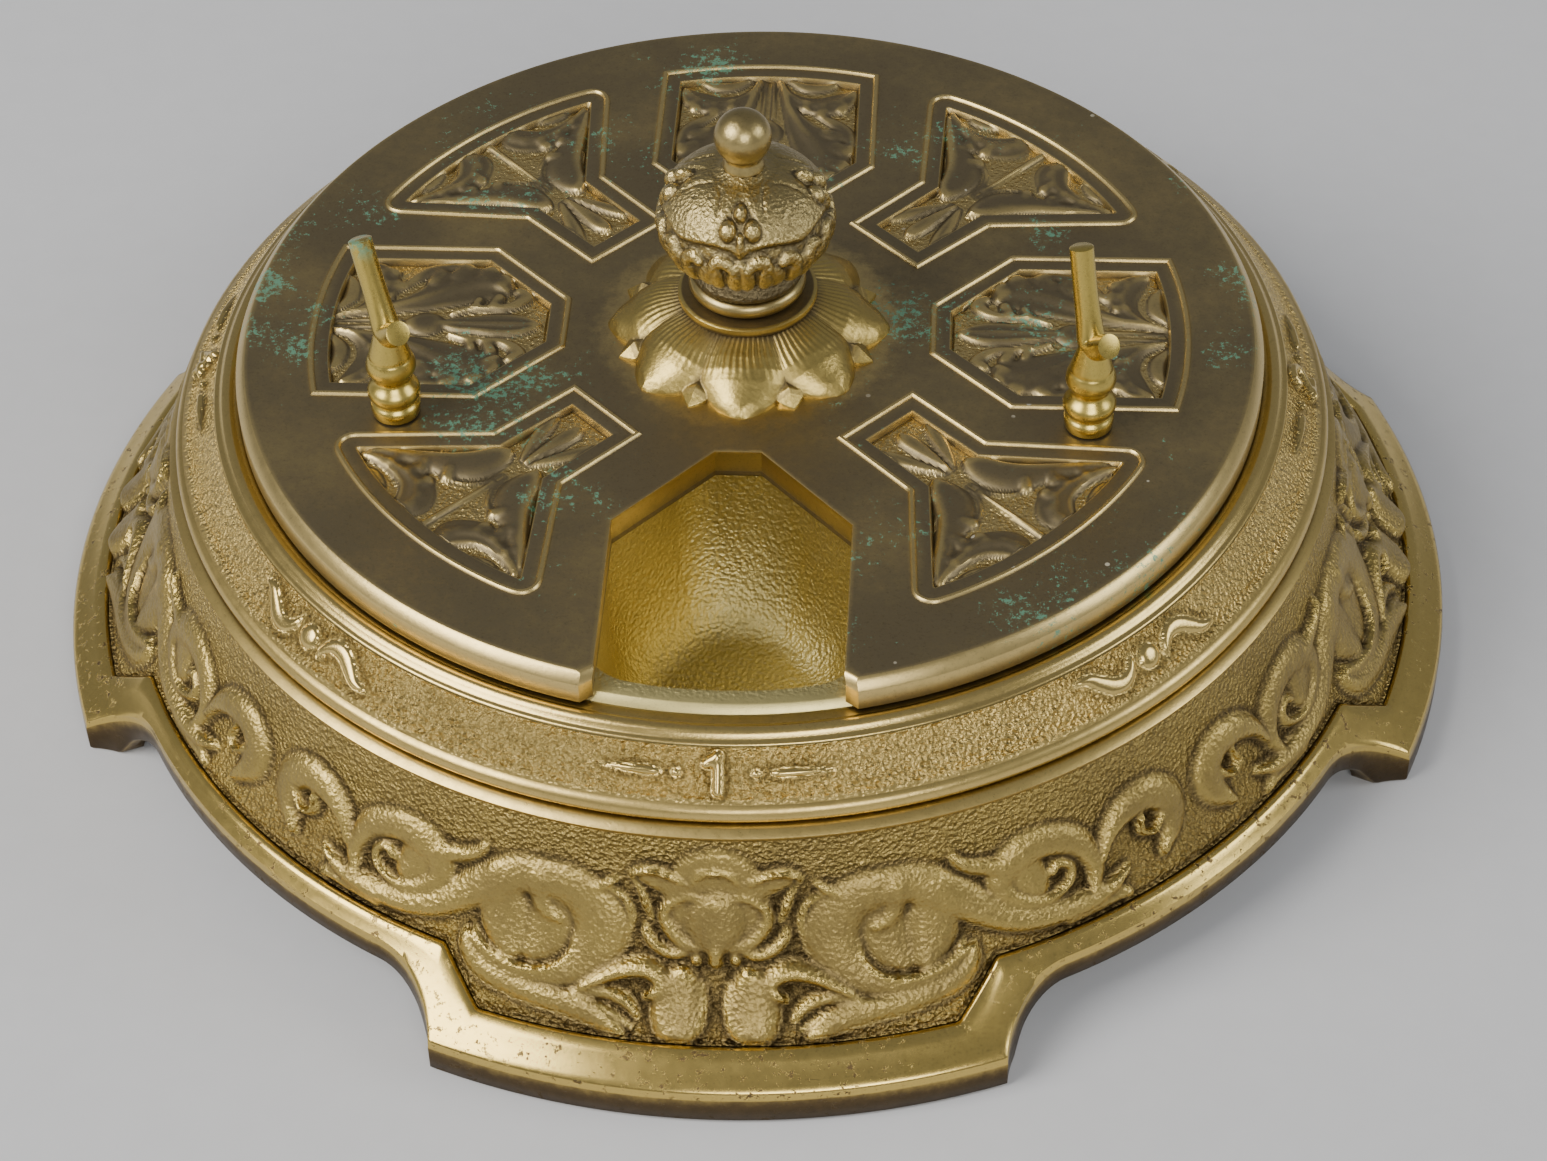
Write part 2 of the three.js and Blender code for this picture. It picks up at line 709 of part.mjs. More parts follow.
// Leaves standing on the floor of a panel's field, the same on both sides of the middle one.
function fieldLeaves(sideLeafShares) {
  const floor = lidHeight - fieldDepth;
  const leaf = (rows) => loft(rows.map(([outward, across, width], i) => {
    const before = rows[Math.max(i - 1, 0)];
    const after = rows[Math.min(i + 1, rows.length - 1)];
    const [x, y] = [outward * lidRadius, across * lidRadius];
    const [nx, ny] = edgeNormal(before, after);
    const half = leafHalfWidth * width;
    return [
      [x - nx * half, y - ny * half, floor - leafRootDepth],
      [x, y, floor + leafHeight * Math.sqrt(width)],
      [x + nx * half, y + ny * half, floor - leafRootDepth],
    ];
  }));
  const other = sideLeafShares.map(([outward, across, width]) => [outward, -across, width]);
  return leaf(stemLeafShares).add(leaf(sideLeafShares)).add(leaf(other));
}

function lidBoss() {
  const steps = petals * petalSteps;
  const edgeRadius = (angle) => {
    const away = Math.abs(((angle / (2 * Math.PI) * petals + 0.5) % 1) - 0.5) * 2;
    return petalTipRadius - (petalTipRadius - petalValleyRadius) * petalEdgeShare(away);
  };
  const ring = (share, height) => Array.from({ length: steps }, (_, i) => {
    const angle = i / steps * 2 * Math.PI;
    return [...polar(bossTopRadius + (edgeRadius(angle) - bossTopRadius) * share, angle), height];
  });
  const rise = (share) => petalEdge + (bossHeight - petalEdge) * (1 + Math.cos(Math.PI * share)) / 2;
  return loft([ring(1, lidUnder), ...petalRowShares.map((share) => ring(share, lidHeight + rise(share)))]);
}

// How far in from tip to valley a petal's edge has come, from 0 at its middle to 1 between two petals.
function petalEdgeShare(away) {
  return petalCurveShare * away ** 2 + (1 - petalCurveShare) * away;
}

function lidPlate() {
  const rimInner = lidRadius - lidRimWidth;
  const profile = [
    [0, lidUnder],
    [rimInner, lidUnder],
    [rimInner, lidUnder - lidRimDrop],
    [lidRadius, lidUnder - lidRimDrop],
    [lidRadius, lidHeight - lidChamfer],
    [lidRadius - lidChamfer, lidHeight],
    [0, lidHeight],
  ];
  let lid = revolve(profile, roundSteps, false).add(lidBoss());
  for (let i = 0; i < quarters; i++) {
    const shield = shieldOutline(shieldPanel);
    const bell = bellOutline(bellPanel);
    const panels = [[bell, bellLeafShares, (i + 0.5) * quarter]];
    if (i + 1 < quarters) panels.push([shield, shieldLeafShares, i * quarter]);
    for (const [outline, leafShares, way] of panels) {
      lid = lid.add(faced(panelFrame(outline), way)).subtract(faced(panelField(outline), way));
      lid = lid.add(faced(fieldLeaves(leafShares), way));
    }
  }
  lid = lid.subtract(faced(prism(windowOutline, 0, bossTop), front));
  const tenonHole = cylinder(tenonRadius + fit, 0, bossTop, smallSteps / 2);
  for (const side of [-1, 1]) {
    lid = lid.subtract(tenonHole.translate([side * restPlace.x, restPlace.y, 0]));
  }
  return lid.subtract(cylinder(spindleRadius + fit, 0, bossTop + overrun));
}

// Knob

function knobCollar() {
  const low = bossTop + fit;
  const middle = low + collarHeight / 2;
  const bore = spindleRadius + fit;
  const round = collarHeight / 2;
  const rimArc = arc([collarRadius - round, middle], round, -Math.PI / 2, Math.PI / 2, collarSteps);
  return revolve([[bore, low], ...rimArc, [bore, collarTop]], smallSteps);
}

// The bulb swells from the waisted neck and closes in under the finial, with shallow lobes round it.
const bulbHeightShares = [0, 0.06, 0.2, 0.4, 0.6, 0.78, 0.92, 1];
const bulbRadiusShares = [0.62, 0.78, 0.93, 1, 0.95, 0.76, 0.46, 0.27];
const bulbLobeShares = [0.5, 1, 1, 0.8, 0.5, 0.3, 0.1, 0];
const bulbLobeDepth = 0.55;

function knobBulb() {
  const steps = bulbLobes * bulbLobeSteps;
  const ring = (radius, height, lobe) => Array.from({ length: steps }, (_, i) => {
    const angle = i / steps * 2 * Math.PI;
    const dip = lobe * bulbLobeDepth * (1 - Math.cos(bulbLobes * angle)) / 2;
    return [...polar(radius - dip, angle), height];
  });
  const neckTop = neckBottom + neckHeight;
  const foot = collarRadius - collarHeight / 2;
  const rings = [
    ring(foot, neckBottom, 0),
    ring(neckRadius, neckBottom + neckHeight * neckWaistShare, 0),
    ring(neckRadius, neckTop - fit, 0),
  ];
  bulbHeightShares.forEach((share, i) => {
    const radius = Math.max(bulbRadius * bulbRadiusShares[i], bulbCrownRadius);
    rings.push(ring(radius, neckTop + share * bulbHeight, bulbLobeShares[i]));
  });
  const tipStart = spindleShoulder();
  return loft(rings)
    .subtract(cylinder(spindleRadius + fit, 0, tipStart + fit))
    .subtract(cylinder(spindleTipRadius + fit, 0, bulbTop + overrun));
}

function spindleTop() {
  return ballCentre + ballRadius * spindleTipShare;
}

function spindleShoulder() {
  return spindleTop() - spindleTipLength;
}

function knobFinial() {
  const low = bulbTop + fit;
  const ringTop = low + finialRingHeight;
  const meet = -Math.asin(ballSeatShare);
  const ball = arc([0, ballCentre], ballRadius, meet, Math.PI / 2, ballRows).slice(0, -1);
  const profile = [
    [0, low], [finialRingRadius, low], [finialRingRadius, ringTop],
    ...ball, [0, ballCentre + ballRadius],
  ];
  const bore = cylinder(spindleTipRadius + fit, 0, spindleTop() + fit);
  return revolve(profile, smallSteps, false).subtract(bore);
}

// Spindle and what holds it under the hub

function stackUnder() {
  const flatTop = hubUnder - fit;
  const springTop = flatTop - flatWasherThickness - fit;
  const nutTop = springTop - springWasherThickness - springWasherRise - fit;
  return { flatTop, springTop, nutTop };
}

function lidSpindle() {
  const low = stackUnder().nutTop - nutHeight - spindleTail;
  const shoulder = spindleShoulder();
  const profile = [
    [0, low], [spindleRadius, low], [spindleRadius, shoulder],
    [spindleTipRadius, shoulder], [spindleTipRadius, spindleTop()], [0, spindleTop()],
  ];
  return revolve(profile, smallSteps, false);
}

function ringWasher(outer, inner, top, thickness, rise = 0) {
  const profile = [
    [inner, top - thickness], [outer, top - rise - thickness],
    [outer, top - rise], [inner, top],
  ];
  return revolve(profile, smallSteps);
}

function spindleNut() {
  const { nutTop } = stackUnder();
  const nutCornerRadius = nutAcrossFlats / 2 / Math.cos(Math.PI / nutSides);
  const corner = (i) => polar(nutCornerRadius, i * 2 * Math.PI / nutSides);
  const corners = Array.from({ length: nutSides }, (_, i) => corner(i));
  return prism(corners, nutTop - nutHeight, nutTop).subtract(cylinder(spindleRadius + fit, 0, lidHeight));
}

// Pen rests

function rodAt(radius) {
  const [stub, arm] = [stubReach, armReach].map(({ x, y, z }) => new THREE.Vector3(x, y, z));
  const centre = new THREE.Vector3();
  const bendIn = centre.clone().lerp(stub, bendShare);
  const bendOut = centre.clone().lerp(arm, armBendShare);
  const path = new THREE.CurvePath();
  path.add(new THREE.LineCurve3(stub, bendIn));
  path.add(new THREE.QuadraticBezierCurve3(bendIn, centre, bendOut));
  path.add(new THREE.LineCurve3(bendOut, arm));
  const round = new THREE.Shape();
  round.absarc(0, 0, radius, 0, 2 * Math.PI);
  const settings = { steps: rodSteps, curveSegments: rodSides / 2, bevelEnabled: false, extrudePath: path };
  return closedSolid(new THREE.ExtrudeGeometry(round, settings)).translate([0, 0, lidHeight + restHeight]);
}

// Heights of the post's foot, lower bead, waist and upper bead as shares of its height.
const postHeightShares = [0, 0.13, 0.17, 0.21, 0.26, 0.33, 0.4, 0.46, 0.56, 0.68, 0.84, 1];
const postRadiusShares = [0.86, 0.89, 0.79, 0.93, 1, 0.94, 0.7, 0.85, 0.97, 0.94, 0.76, 0.55];

function restPost() {
  const low = lidHeight + fit;
  const tall = restHeight - fit;
  const turned = postHeightShares.map((share, i) => [
    restBeadRadius * postRadiusShares[i], low + share * tall,
  ]);
  turned[0][0] = restFootRadius;
  const tenonEnd = lidUnder + fit;
  const profile = [[0, tenonEnd], [tenonRadius, tenonEnd], [tenonRadius, low], ...turned, [0, low + tall]];
  return revolve(profile, smallSteps, false).subtract(rodAt(rodRadius + fit));
}

// The whole inkstand

const inkstand = new THREE.Group();
inkstand.name = 'desk_inkstand';

function addPiece(name, manifold, material) {
  const mesh = new THREE.Mesh(geometryOf(manifold), material);
  mesh.name = name;
  inkstand.add(mesh);
}

addPiece('stand_skirt', standSkirt(), brass);
addPiece('cell_tray', cellTray(), brass);
addPiece('ink_glass', inkGlass(), glass);
for (let i = 0; i < quarters; i++) {
  addPiece(`tray_screw_${i + 1}`, faced(trayScrew(), (i + 0.5) * quarter), steel);
}

addPiece('lid_plate', lidPlate(), darkBrass);
addPiece('knob_collar', knobCollar(), brass);
addPiece('knob_bulb', knobBulb(), brass);
addPiece('knob_finial', knobFinial(), brass);
addPiece('lid_spindle', lidSpindle(), steel);

const { flatTop, springTop } = stackUnder();
const boreRadius = spindleRadius + fit;
addPiece('lid_washer', ringWasher(bearingRadius, boreRadius, trayTop, bearingThickness), brightBrass);
addPiece('spindle_washer', ringWasher(flatWasherRadius, boreRadius, flatTop, flatWasherThickness), steel);
addPiece('spring_washer',
  ringWasher(springWasherRadius, boreRadius, springTop, springWasherThickness, springWasherRise), steel);
addPiece('spindle_nut', spindleNut(), brightBrass);

for (const [side, word] of [[-1, 'left'], [1, 'right']]) {
  const place = [side * restPlace.x, restPlace.y, 0];
  addPiece(`rest_post_${word}`, restPost().translate(place), brightBrass);
  addPiece(`rest_fork_${word}`, rodAt(rodRadius).translate(place), brightBrass);
}

export default inkstand;
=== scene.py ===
"""Desk inkstand: scrolled brass stand, cups under a revolving lid, foliate knob and pen rests."""
import math

import bpy
import numpy as np
from mathutils import Matrix, Vector
from mathutils.geometry import delaunay_2d_cdt


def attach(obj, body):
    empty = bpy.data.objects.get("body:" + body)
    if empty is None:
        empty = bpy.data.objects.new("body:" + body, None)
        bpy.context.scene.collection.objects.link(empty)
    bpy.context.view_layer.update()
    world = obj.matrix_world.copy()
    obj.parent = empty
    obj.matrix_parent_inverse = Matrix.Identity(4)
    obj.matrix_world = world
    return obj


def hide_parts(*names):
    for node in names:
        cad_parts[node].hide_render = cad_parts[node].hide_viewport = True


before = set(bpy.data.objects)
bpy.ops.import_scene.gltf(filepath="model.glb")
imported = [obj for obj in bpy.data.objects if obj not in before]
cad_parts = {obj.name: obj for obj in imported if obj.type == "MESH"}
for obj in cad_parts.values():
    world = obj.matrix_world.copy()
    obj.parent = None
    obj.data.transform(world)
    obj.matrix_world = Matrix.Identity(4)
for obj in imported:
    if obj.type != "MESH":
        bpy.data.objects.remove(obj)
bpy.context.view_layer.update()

MM = 0.001
TAU = 2 * math.pi
QUARTER = TAU / 4
FRONT = -QUARTER
MASKS = ("worn", "hollow", "ground")  # kept at a mesh's points for its finish

# Sizes in millimetres. Heights are over the table, and radii from the lid's axis.
LID_TOP = 43.0
LID_UNDER = 39.8
LID_RADIUS = 62.6
TRAY_TOP = 39.5
TRAY_RADIUS = 61.4
LOBE_RADIUS = 88.0
LOBE_HALF_ANGLE = math.radians(22)
WAIST_RADIUS = 81.2
COVE_RADIUS = 13.0
BORDER_LOBE_RADIUS = 83.0
BORDER_LOBE_HALF_ANGLE = math.radians(19.2)
BORDER_WAIST_RADIUS = 78.9
BORDER_WAIST_HALF_ANGLE = math.radians(23.4)
FLARE = np.array([(72.0, 29.4), (75.0, 11.0), (88.0, 3.8)])  # radius and height that its curve is drawn from
WINDOW_HALF = 14.05
WINDOW_SHOULDER = 35.0
WINDOW_APEX = 22.8
WINDOW_APEX_HALF = 2.75
FLARE_WALL = 1.7
DEGREE = 1.34  # round the flare, halfway down it
BAND_RADIUS = 67.4
BAND_MIDDLE = 3.1  # down the band's face
TRAY_UNDER = 36.3
CUP_RADIUS = 58.4
CUP_HALF = 15.5
CUP_CORNER = 6.5
CUP_DEPTH = 23
CUP_MIDDLE = 39.4
CUP_WALL = 2
FIELD_DEPTH = 0.95  # of a panel's ground under the lid's top
FIELD_LIFT = 0.85  # of a panel's carving, for each millimetre drawn
ROSETTE_IN = 8.2
ROSETTE_OUT = 17.2
KNOB_DEGREE = 0.18  # round the knob
REST_AWAY, REST_FORWARD = 41.1, -17.0
REST_FOOT = 40.1
POST_TALL = 12.0


# Curves and outlines

def spline(rows, per=12):
    """Smooth samples through rows of numbers, with `per` to each stretch."""
    P = np.array(rows, float)
    if len(P) < 3:
        t = np.linspace(0, 1, per + 1)[:, None]
        return P[0] * (1 - t) + P[-1] * t
    E = np.vstack([2 * P[0] - P[1], P, 2 * P[-1] - P[-2]])
    t = np.linspace(0, 1, per, endpoint=False)[:, None]
    parts = []
    for a, b, c, d in zip(E[:-3], E[1:-2], E[2:-1], E[3:]):
        parts.append(0.5 * (2 * b + (c - a) * t + (2 * a - 5 * b + 4 * c - d) * t**2
                            + (3 * b - a - 3 * c + d) * t**3))
    return np.vstack(parts + [P[-1:]])


def arc(centre, radius, start, end, steps):
    t = np.linspace(start, end, steps + 1)
    return np.c_[centre[0] + radius * np.cos(t), centre[1] + radius * np.sin(t)]


def inset(outline, distance):
    """A closed anticlockwise outline moved inwards."""
    before = outline - np.roll(outline, 1, 0)
    after = np.roll(outline, -1, 0) - outline
    a = np.c_[-before[:, 1], before[:, 0]] / np.hypot(*before.T)[:, None]
    b = np.c_[-after[:, 1], after[:, 0]] / np.hypot(*after.T)[:, None]
    return outline + distance * (a + b) / (1 + (a * b).sum(1))[:, None]


def rounded(corners, steps=6):
    """Corners of x, y, radius, each drawn as an arc."""
    C = np.array([c[:2] for c in corners], float)
    parts = []
    for i, (x, y, radius) in enumerate(corners):
        if not radius:
            parts.append([(x, y)])
            continue
        here = C[i]
        ways = [(C[j] - here) / np.hypot(*(C[j] - here)) for j in (i - 1, (i + 1) % len(C))]
        half = math.acos(np.clip(ways[0] @ ways[1], -1, 1)) / 2
        bisector = (ways[0] + ways[1]) / np.hypot(*(ways[0] + ways[1]))
        centre = here + bisector * radius / math.sin(half)
        touch = [here + w * radius / math.tan(half) - centre for w in ways]
        start = math.atan2(touch[0][1], touch[0][0])
        turn = math.atan2(touch[1][1], touch[1][0]) - start
        turn = math.atan2(math.sin(turn), math.cos(turn))
        parts.append(arc(centre, radius, start, start + turn, steps))
    return np.vstack(parts)


def inside(points, outline):
    """Which points lie within a closed outline."""
    x, y = points[:, :1], points[:, 1:2]
    ax, ay = outline.T
    bx, by = np.roll(outline, -1, 0).T
    crosses = (ay > y) != (by > y)
    where = (bx - ax) * (y - ay) / np.where(by == ay, 1e-9, by - ay) + ax
    return ((crosses & (x < where)).sum(1) % 2) == 1


def level(loop, z):
    """A plan's points at one height."""
    return np.c_[loop, np.full(len(loop), z)]


def divided(outline, counts):
    """Each edge of a closed outline cut into its own count of parts."""
    ends = np.roll(outline, -1, 0)
    return np.vstack([a + (b - a) * (np.arange(n) / n)[:, None] for a, b, n in zip(outline, ends, counts)])


def turned(points, angle):
    """Points turned about the lid's axis."""
    P = np.array(points, float)
    c, s = math.cos(angle), math.sin(angle)
    x, y = P[..., 0].copy(), P[..., 1].copy()
    P[..., 0], P[..., 1] = c * x - s * y, s * x + c * y
    return P


# Carving

def blurred(field, reach):
    """The field smoothed over `reach` cells each way."""
    for axis in (0, 1):
        for _ in range(2):
            pad = [(reach + 1, reach) if a == axis else (0, 0) for a in (0, 1)]
            total = np.cumsum(np.pad(field, pad, mode="edge"), axis=axis)
            n = field.shape[axis]
            high = np.take(total, np.arange(2 * reach + 1, 2 * reach + 1 + n), axis=axis)
            low = np.take(total, np.arange(0, n), axis=axis)
            field = (high - low) / (2 * reach + 1)
    return field


class Carving:
    """Heights of carved work over a flat field, on a fine even grid that can be read anywhere."""

    def __init__(self, low, high, step=0.14):
        self.low, self.step = np.array(low, float), step
        nx, ny = (np.ceil((np.array(high) - self.low) / step) + 1).astype(int)
        self.X, self.Y = np.meshgrid(self.low[0] + step * np.arange(nx), self.low[1] + step * np.arange(ny),
                                     indexing="ij")
        self.height = np.zeros_like(self.X)

    def leaf(self, rows, height, edge=2.2, vein=0.0, ribs=0, lean=0.0, mirror=False):
        """One raised stroke from rows of x, y, half width.

        A higher `edge` fills out its section, `vein` sinks its middle, `ribs` groove it and `lean` lifts
        one side.
        """
        S = spline(rows)
        S[:, 2] = np.maximum(S[:, 2], 0.05)
        runs = [S, S * (-1, 1, 1)] if mirror else [S]
        for k, run in enumerate(runs):
            side = -1 if k else 1
            reach = run[:, 2].max() + 0.3
            (x0, y0), (x1, y1) = run[:, :2].min(0) - reach, run[:, :2].max(0) + reach
            i0, j0 = np.maximum(((np.array((x0, y0)) - self.low) / self.step).astype(int), 0)
            i1, j1 = (((np.array((x1, y1)) - self.low) / self.step).astype(int) + 2)
            X, Y = self.X[i0:i1, j0:j1], self.Y[i0:i1, j0:j1]
            if not X.size:
                continue
            best = np.zeros_like(X)
            for (ax, ay, aw), (bx, by, bw) in zip(run[:-1], run[1:]):
                dx, dy = bx - ax, by - ay
                length = math.hypot(dx, dy) + 1e-9
                t = np.clip(((X - ax) * dx + (Y - ay) * dy) / length**2, 0, 1)
                ox, oy = X - ax - t * dx, Y - ay - t * dy
                w = aw + (bw - aw) * t
                q = np.hypot(ox, oy) / w
                across = side * (dx * oy - dy * ox) / length / w
                form = np.sqrt(np.clip(1 - q**edge, 0, None))
                form = form * (1 + lean * across - vein * np.exp(-(across / 0.2) ** 2))
                if ribs:
                    form = form * (1 - 0.14 * (1 - np.cos(across * ribs * math.pi)) * (q < 0.9))
                best = np.maximum(best, form * height * np.minimum(1, w / 0.5))
            self.height[i0:i1, j0:j1] = (self.height[i0:i1, j0:j1] ** 4 + best**4) ** 0.25

    def settle(self):
        """Softens the steps a little and works out ridges and hollows."""
        self.height = blurred(self.height, 1)
        self.ridge = self.height - blurred(self.height, 5)

    def read(self, field, x, y):
        u = np.clip((x - self.low[0]) / self.step, 0, field.shape[0] - 1.001)
        v = np.clip((y - self.low[1]) / self.step, 0, field.shape[1] - 1.001)
        i, j = u.astype(int), v.astype(int)
        a, b = u - i, v - j
        return ((field[i, j] * (1 - a) + field[i + 1, j] * a) * (1 - b)
                + (field[i, j + 1] * (1 - a) + field[i + 1, j + 1] * a) * b)


# Finishes

class Wire:
    """A socket of a material's tree, so that shader maths reads as a sum."""

    def __init__(self, finish, socket):
        self.finish, self.socket = finish, socket

    def maths(self, operation, *others):
        inputs = dict(enumerate((self, *others)))
        return self.finish.node("ShaderNodeMath", {"operation": operation}, inputs)[0]

    def __add__(self, other):
        return self.maths("ADD", other)

    __radd__ = __add__

    def __sub__(self, other):
        return self.maths("SUBTRACT", other)

    def __rsub__(self, other):
        return self.finish.node("ShaderNodeMath", {"operation": "SUBTRACT"}, {0: other, 1: self})[0]

    def __mul__(self, other):
        return self.maths("MULTIPLY", other)

    __rmul__ = __mul__

    def between(self, low, high):
        """0 below `low`, 1 above `high`, smooth between; the other way round if low is the higher."""
        if low > high:
            return 1 - self.between(high, low)
        settings = {"interpolation_type": "SMOOTHSTEP"}
        return self.finish.node("ShaderNodeMapRange", settings, {0: self, 1: low, 2: high})[0]


class Finish:
    """One material, made from nodes."""

    def __init__(self, name):
        self.material = bpy.data.materials.new(name)
        self.material.use_nodes = True
        self.tree = self.material.node_tree
        self.tree.nodes.clear()
        self.place = self.node("ShaderNodeTexCoord")["Object"]

    def node(self, kind, settings=None, inputs=None):
        """A node by its type, given settings, then values or wires for its sockets. Gives its outputs."""
        made = self.tree.nodes.new(kind)
        for key, value in (settings or {}).items():
            setattr(made, key, value)
        for key, value in (inputs or {}).items():
            socket = made.inputs[key]
            if isinstance(value, Wire):
                self.tree.links.new(value.socket, socket)
            else:
                socket.default_value = value
        outputs = {}
        for i, socket in enumerate(made.outputs):
            outputs[i] = Wire(self, socket)
            outputs.setdefault(socket.name, outputs[i])
        return outputs

    def noise(self, scale, detail=4.0, roughness=0.55, place=None):
        """Even noise about 0.5; the scale is in cells to the millimetre."""
        inputs = {"Vector": place or self.place, "Scale": scale / MM, "Detail": detail,
                  "Roughness": roughness}
        return self.node("ShaderNodeTexNoise", None, inputs)[0]

    def cells(self, scale):
        """Distance from the nearest of scattered points, as many to the millimetre as the scale says."""
        inputs = {"Vector": self.place, "Scale": scale / MM}
        return self.node("ShaderNodeTexVoronoi", {"feature": "F1"}, inputs)["Distance"]

    def mask(self, name):
        """A mask that the mesh carries at its points."""
        return self.node("ShaderNodeAttribute", {"attribute_name": name})["Fac"]

    def blend(self, factor, a, b):
        """Colour a where the factor is 0, b where it is 1."""
        a, b = (c if isinstance(c, Wire) else (*c, 1.0) for c in (a, b))
        return self.node("ShaderNodeMix", {"data_type": "RGBA"}, {0: factor, 6: a, 7: b})[2]

    def bump(self, height, distance):
        """A normal from a height; the distance is what a height of 1 stands for, in millimetres."""
        inputs = {"Height": height, "Distance": distance * MM, "Strength": 1.0}
        return self.node("ShaderNodeBump", None, inputs)[0]

    def surface(self, colour, roughness, metal=1.0, normal=None, **plain):
        """Ends the tree in its shader; `plain` are sockets that stay the same all over."""
        inputs = {"Base Color": colour if isinstance(colour, Wire) else (*colour, 1.0),
                  "Roughness": roughness, "Metallic": metal, **plain}
        if normal is not None:
            inputs["Normal"] = normal
        shader = self.node("ShaderNodeBsdfPrincipled", None, inputs)[0]
        self.node("ShaderNodeOutputMaterial", None, {0: shader})
        return self.material


def cast_brass(name, gold, brown, deep, pebble=0.0, shine=0.36, patina=0.5, verdigris=0.0, wear=None):
    """Old cast brass: gold where handled, brown where not, deep in the hollows, and painted shade where the
    hollow mask is laid in shade, as behind the band's lip.

    `pebble` is the ground's grain in millimetres. `wear` is "pits" for a polished face with pits and
    scratches, "lid" for the gilt ring about the rosette and pale dust, "tip" for verdigris on what
    stands highest.
    """
    f = Finish(name)
    worn, hollow, ground = f.mask("worn"), f.mask("hollow"), f.mask("ground")
    cloud = f.noise(0.045, 5.0)
    mottle = f.noise(0.6, 6.0, 0.7)
    fine = f.noise(3.2, 4.0, 0.6)
    if wear == "lid":
        flat = f.node("ShaderNodeVectorMath", {"operation": "MULTIPLY"}, {0: f.place, 1: (1.0, 1.0, 0.0)})[0]
        away = f.node("ShaderNodeVectorMath", {"operation": "LENGTH"}, {0: flat})["Value"]
        worn = worn + (away + mottle * 0.003).between(0.0215, 0.0175) * 0.36
    brownness = (cloud * 0.9 + mottle * 0.5 - 0.2 + hollow * 0.9 - worn * 1.1
                 + (patina - 0.5)).between(0.15, 0.95)
    colour = f.blend(brownness, gold, brown)
    depth = (hollow * 1.2 + mottle * 0.5 - 0.45).between(0.1, 1.0)
    colour = f.blend(depth, colour, deep)
    colour = f.blend((fine - 0.5).between(0.02, 0.25) * 0.25, colour, tuple(0.45 * c for c in deep))
    roughness = shine + brownness * 0.12 + (mottle - 0.5) * 0.16 - worn * 0.08
    height = (f.cells(1.9) * 0.6 + f.noise(1.7, 3.0, 0.65) * 0.9) * ground * pebble
    height = height + (mottle * 0.02 + fine * 0.01) * (0.3 + pebble)
    if wear == "pits":
        stretch = {"Vector": f.place, "Rotation": (0, 0, 0.7), "Scale": (0.1, 3, 1)}
        streaks = f.noise(1.2, 2.0, 0.5, f.node("ShaderNodeMapping", None, stretch)[0])
        scratches = streaks.between(0.7, 0.76) * f.noise(0.09, 2.0).between(0.5, 0.6)
        pits = f.noise(0.8, 5.0, 0.75).between(0.585, 0.625) * cloud.between(0.38, 0.5)
        colour = f.blend((pits + scratches * 0.6) * (1 - hollow), colour, brown)
        roughness = roughness + pits * 0.2
        height = height - pits * 0.05
    metal = 1.0
    if verdigris:
        spots = (f.noise(1.1, 6.0, 0.8) * 0.75 + f.noise(0.06, 2.0) * 0.6).between(0.80, 0.83)
        if wear == "tip":
            tall = f.node("ShaderNodeSeparateXYZ", None, {0: f.place})["Z"].between(0.0635, 0.066)
            spots = (mottle + 0.1).between(0.5, 0.65) * tall
        colour = f.blend(spots * 0.85, colour, (0.10, 0.30, 0.19))
        metal = 1.0 - spots * 0.7
    if wear == "lid":
        side = f.node("ShaderNodeSeparateXYZ", None, {0: f.place})["X"].between(0.0, 0.03)
        dust = f.cells(0.2).between(0.068, 0.05) * side * f.noise(0.11, 1.0).between(0.47, 0.52)
        colour = f.blend(dust, colour, (0.62, 0.58, 0.45))
        roughness = roughness + dust * 0.3
    return f.surface(colour, roughness, metal, f.bump(height, 1.0))


stand_finish = cast_brass("stand_cast_brass", (0.48, 0.35, 0.105), (0.225, 0.163, 0.063),
                          (0.085, 0.058, 0.025), pebble=0.75, shine=0.31, patina=0.5)
band_finish = cast_brass("band_cast_brass", (0.68, 0.50, 0.17), (0.34, 0.245, 0.08), (0.12, 0.085, 0.035),
                         pebble=0.9, shine=0.29, patina=0.4)
border_finish = cast_brass("border_polished_brass", (0.69, 0.50, 0.145), (0.17, 0.115, 0.05),
                           (0.07, 0.048, 0.026), shine=0.27, patina=0.38, wear="pits")
lid_finish = cast_brass("lid_dark_patina", (0.67, 0.505, 0.20), (0.245, 0.195, 0.108), (0.105, 0.08, 0.045),
                        pebble=0.5, shine=0.38, patina=0.8, verdigris=1.0, wear="lid")
rosette_finish = cast_brass("rosette_gilt_patina", (0.51, 0.38, 0.115), (0.25, 0.19, 0.085),
                            (0.11, 0.08, 0.04), pebble=0.3, shine=0.4, patina=0.56)
knob_finish = cast_brass("knob_cast_brass", (0.50, 0.385, 0.155), (0.205, 0.162, 0.08), (0.075, 0.057, 0.034),
                         pebble=0.3, shine=0.33, patina=0.56)
bright_finish = cast_brass("turned_bright_brass", (0.60, 0.45, 0.115), (0.31, 0.235, 0.07),
                           (0.16, 0.11, 0.035), shine=0.34)
tip_finish = cast_brass("turned_brass_green_tip", (0.60, 0.45, 0.115), (0.31, 0.235, 0.07),
                        (0.16, 0.11, 0.035), shine=0.34, verdigris=1.0, wear="tip")
cup_finish = cast_brass("cup_cast_brass", (0.66, 0.55, 0.225), (0.41, 0.345, 0.15), (0.2, 0.16, 0.07),
                        pebble=0.2, shine=0.42, patina=0.4)


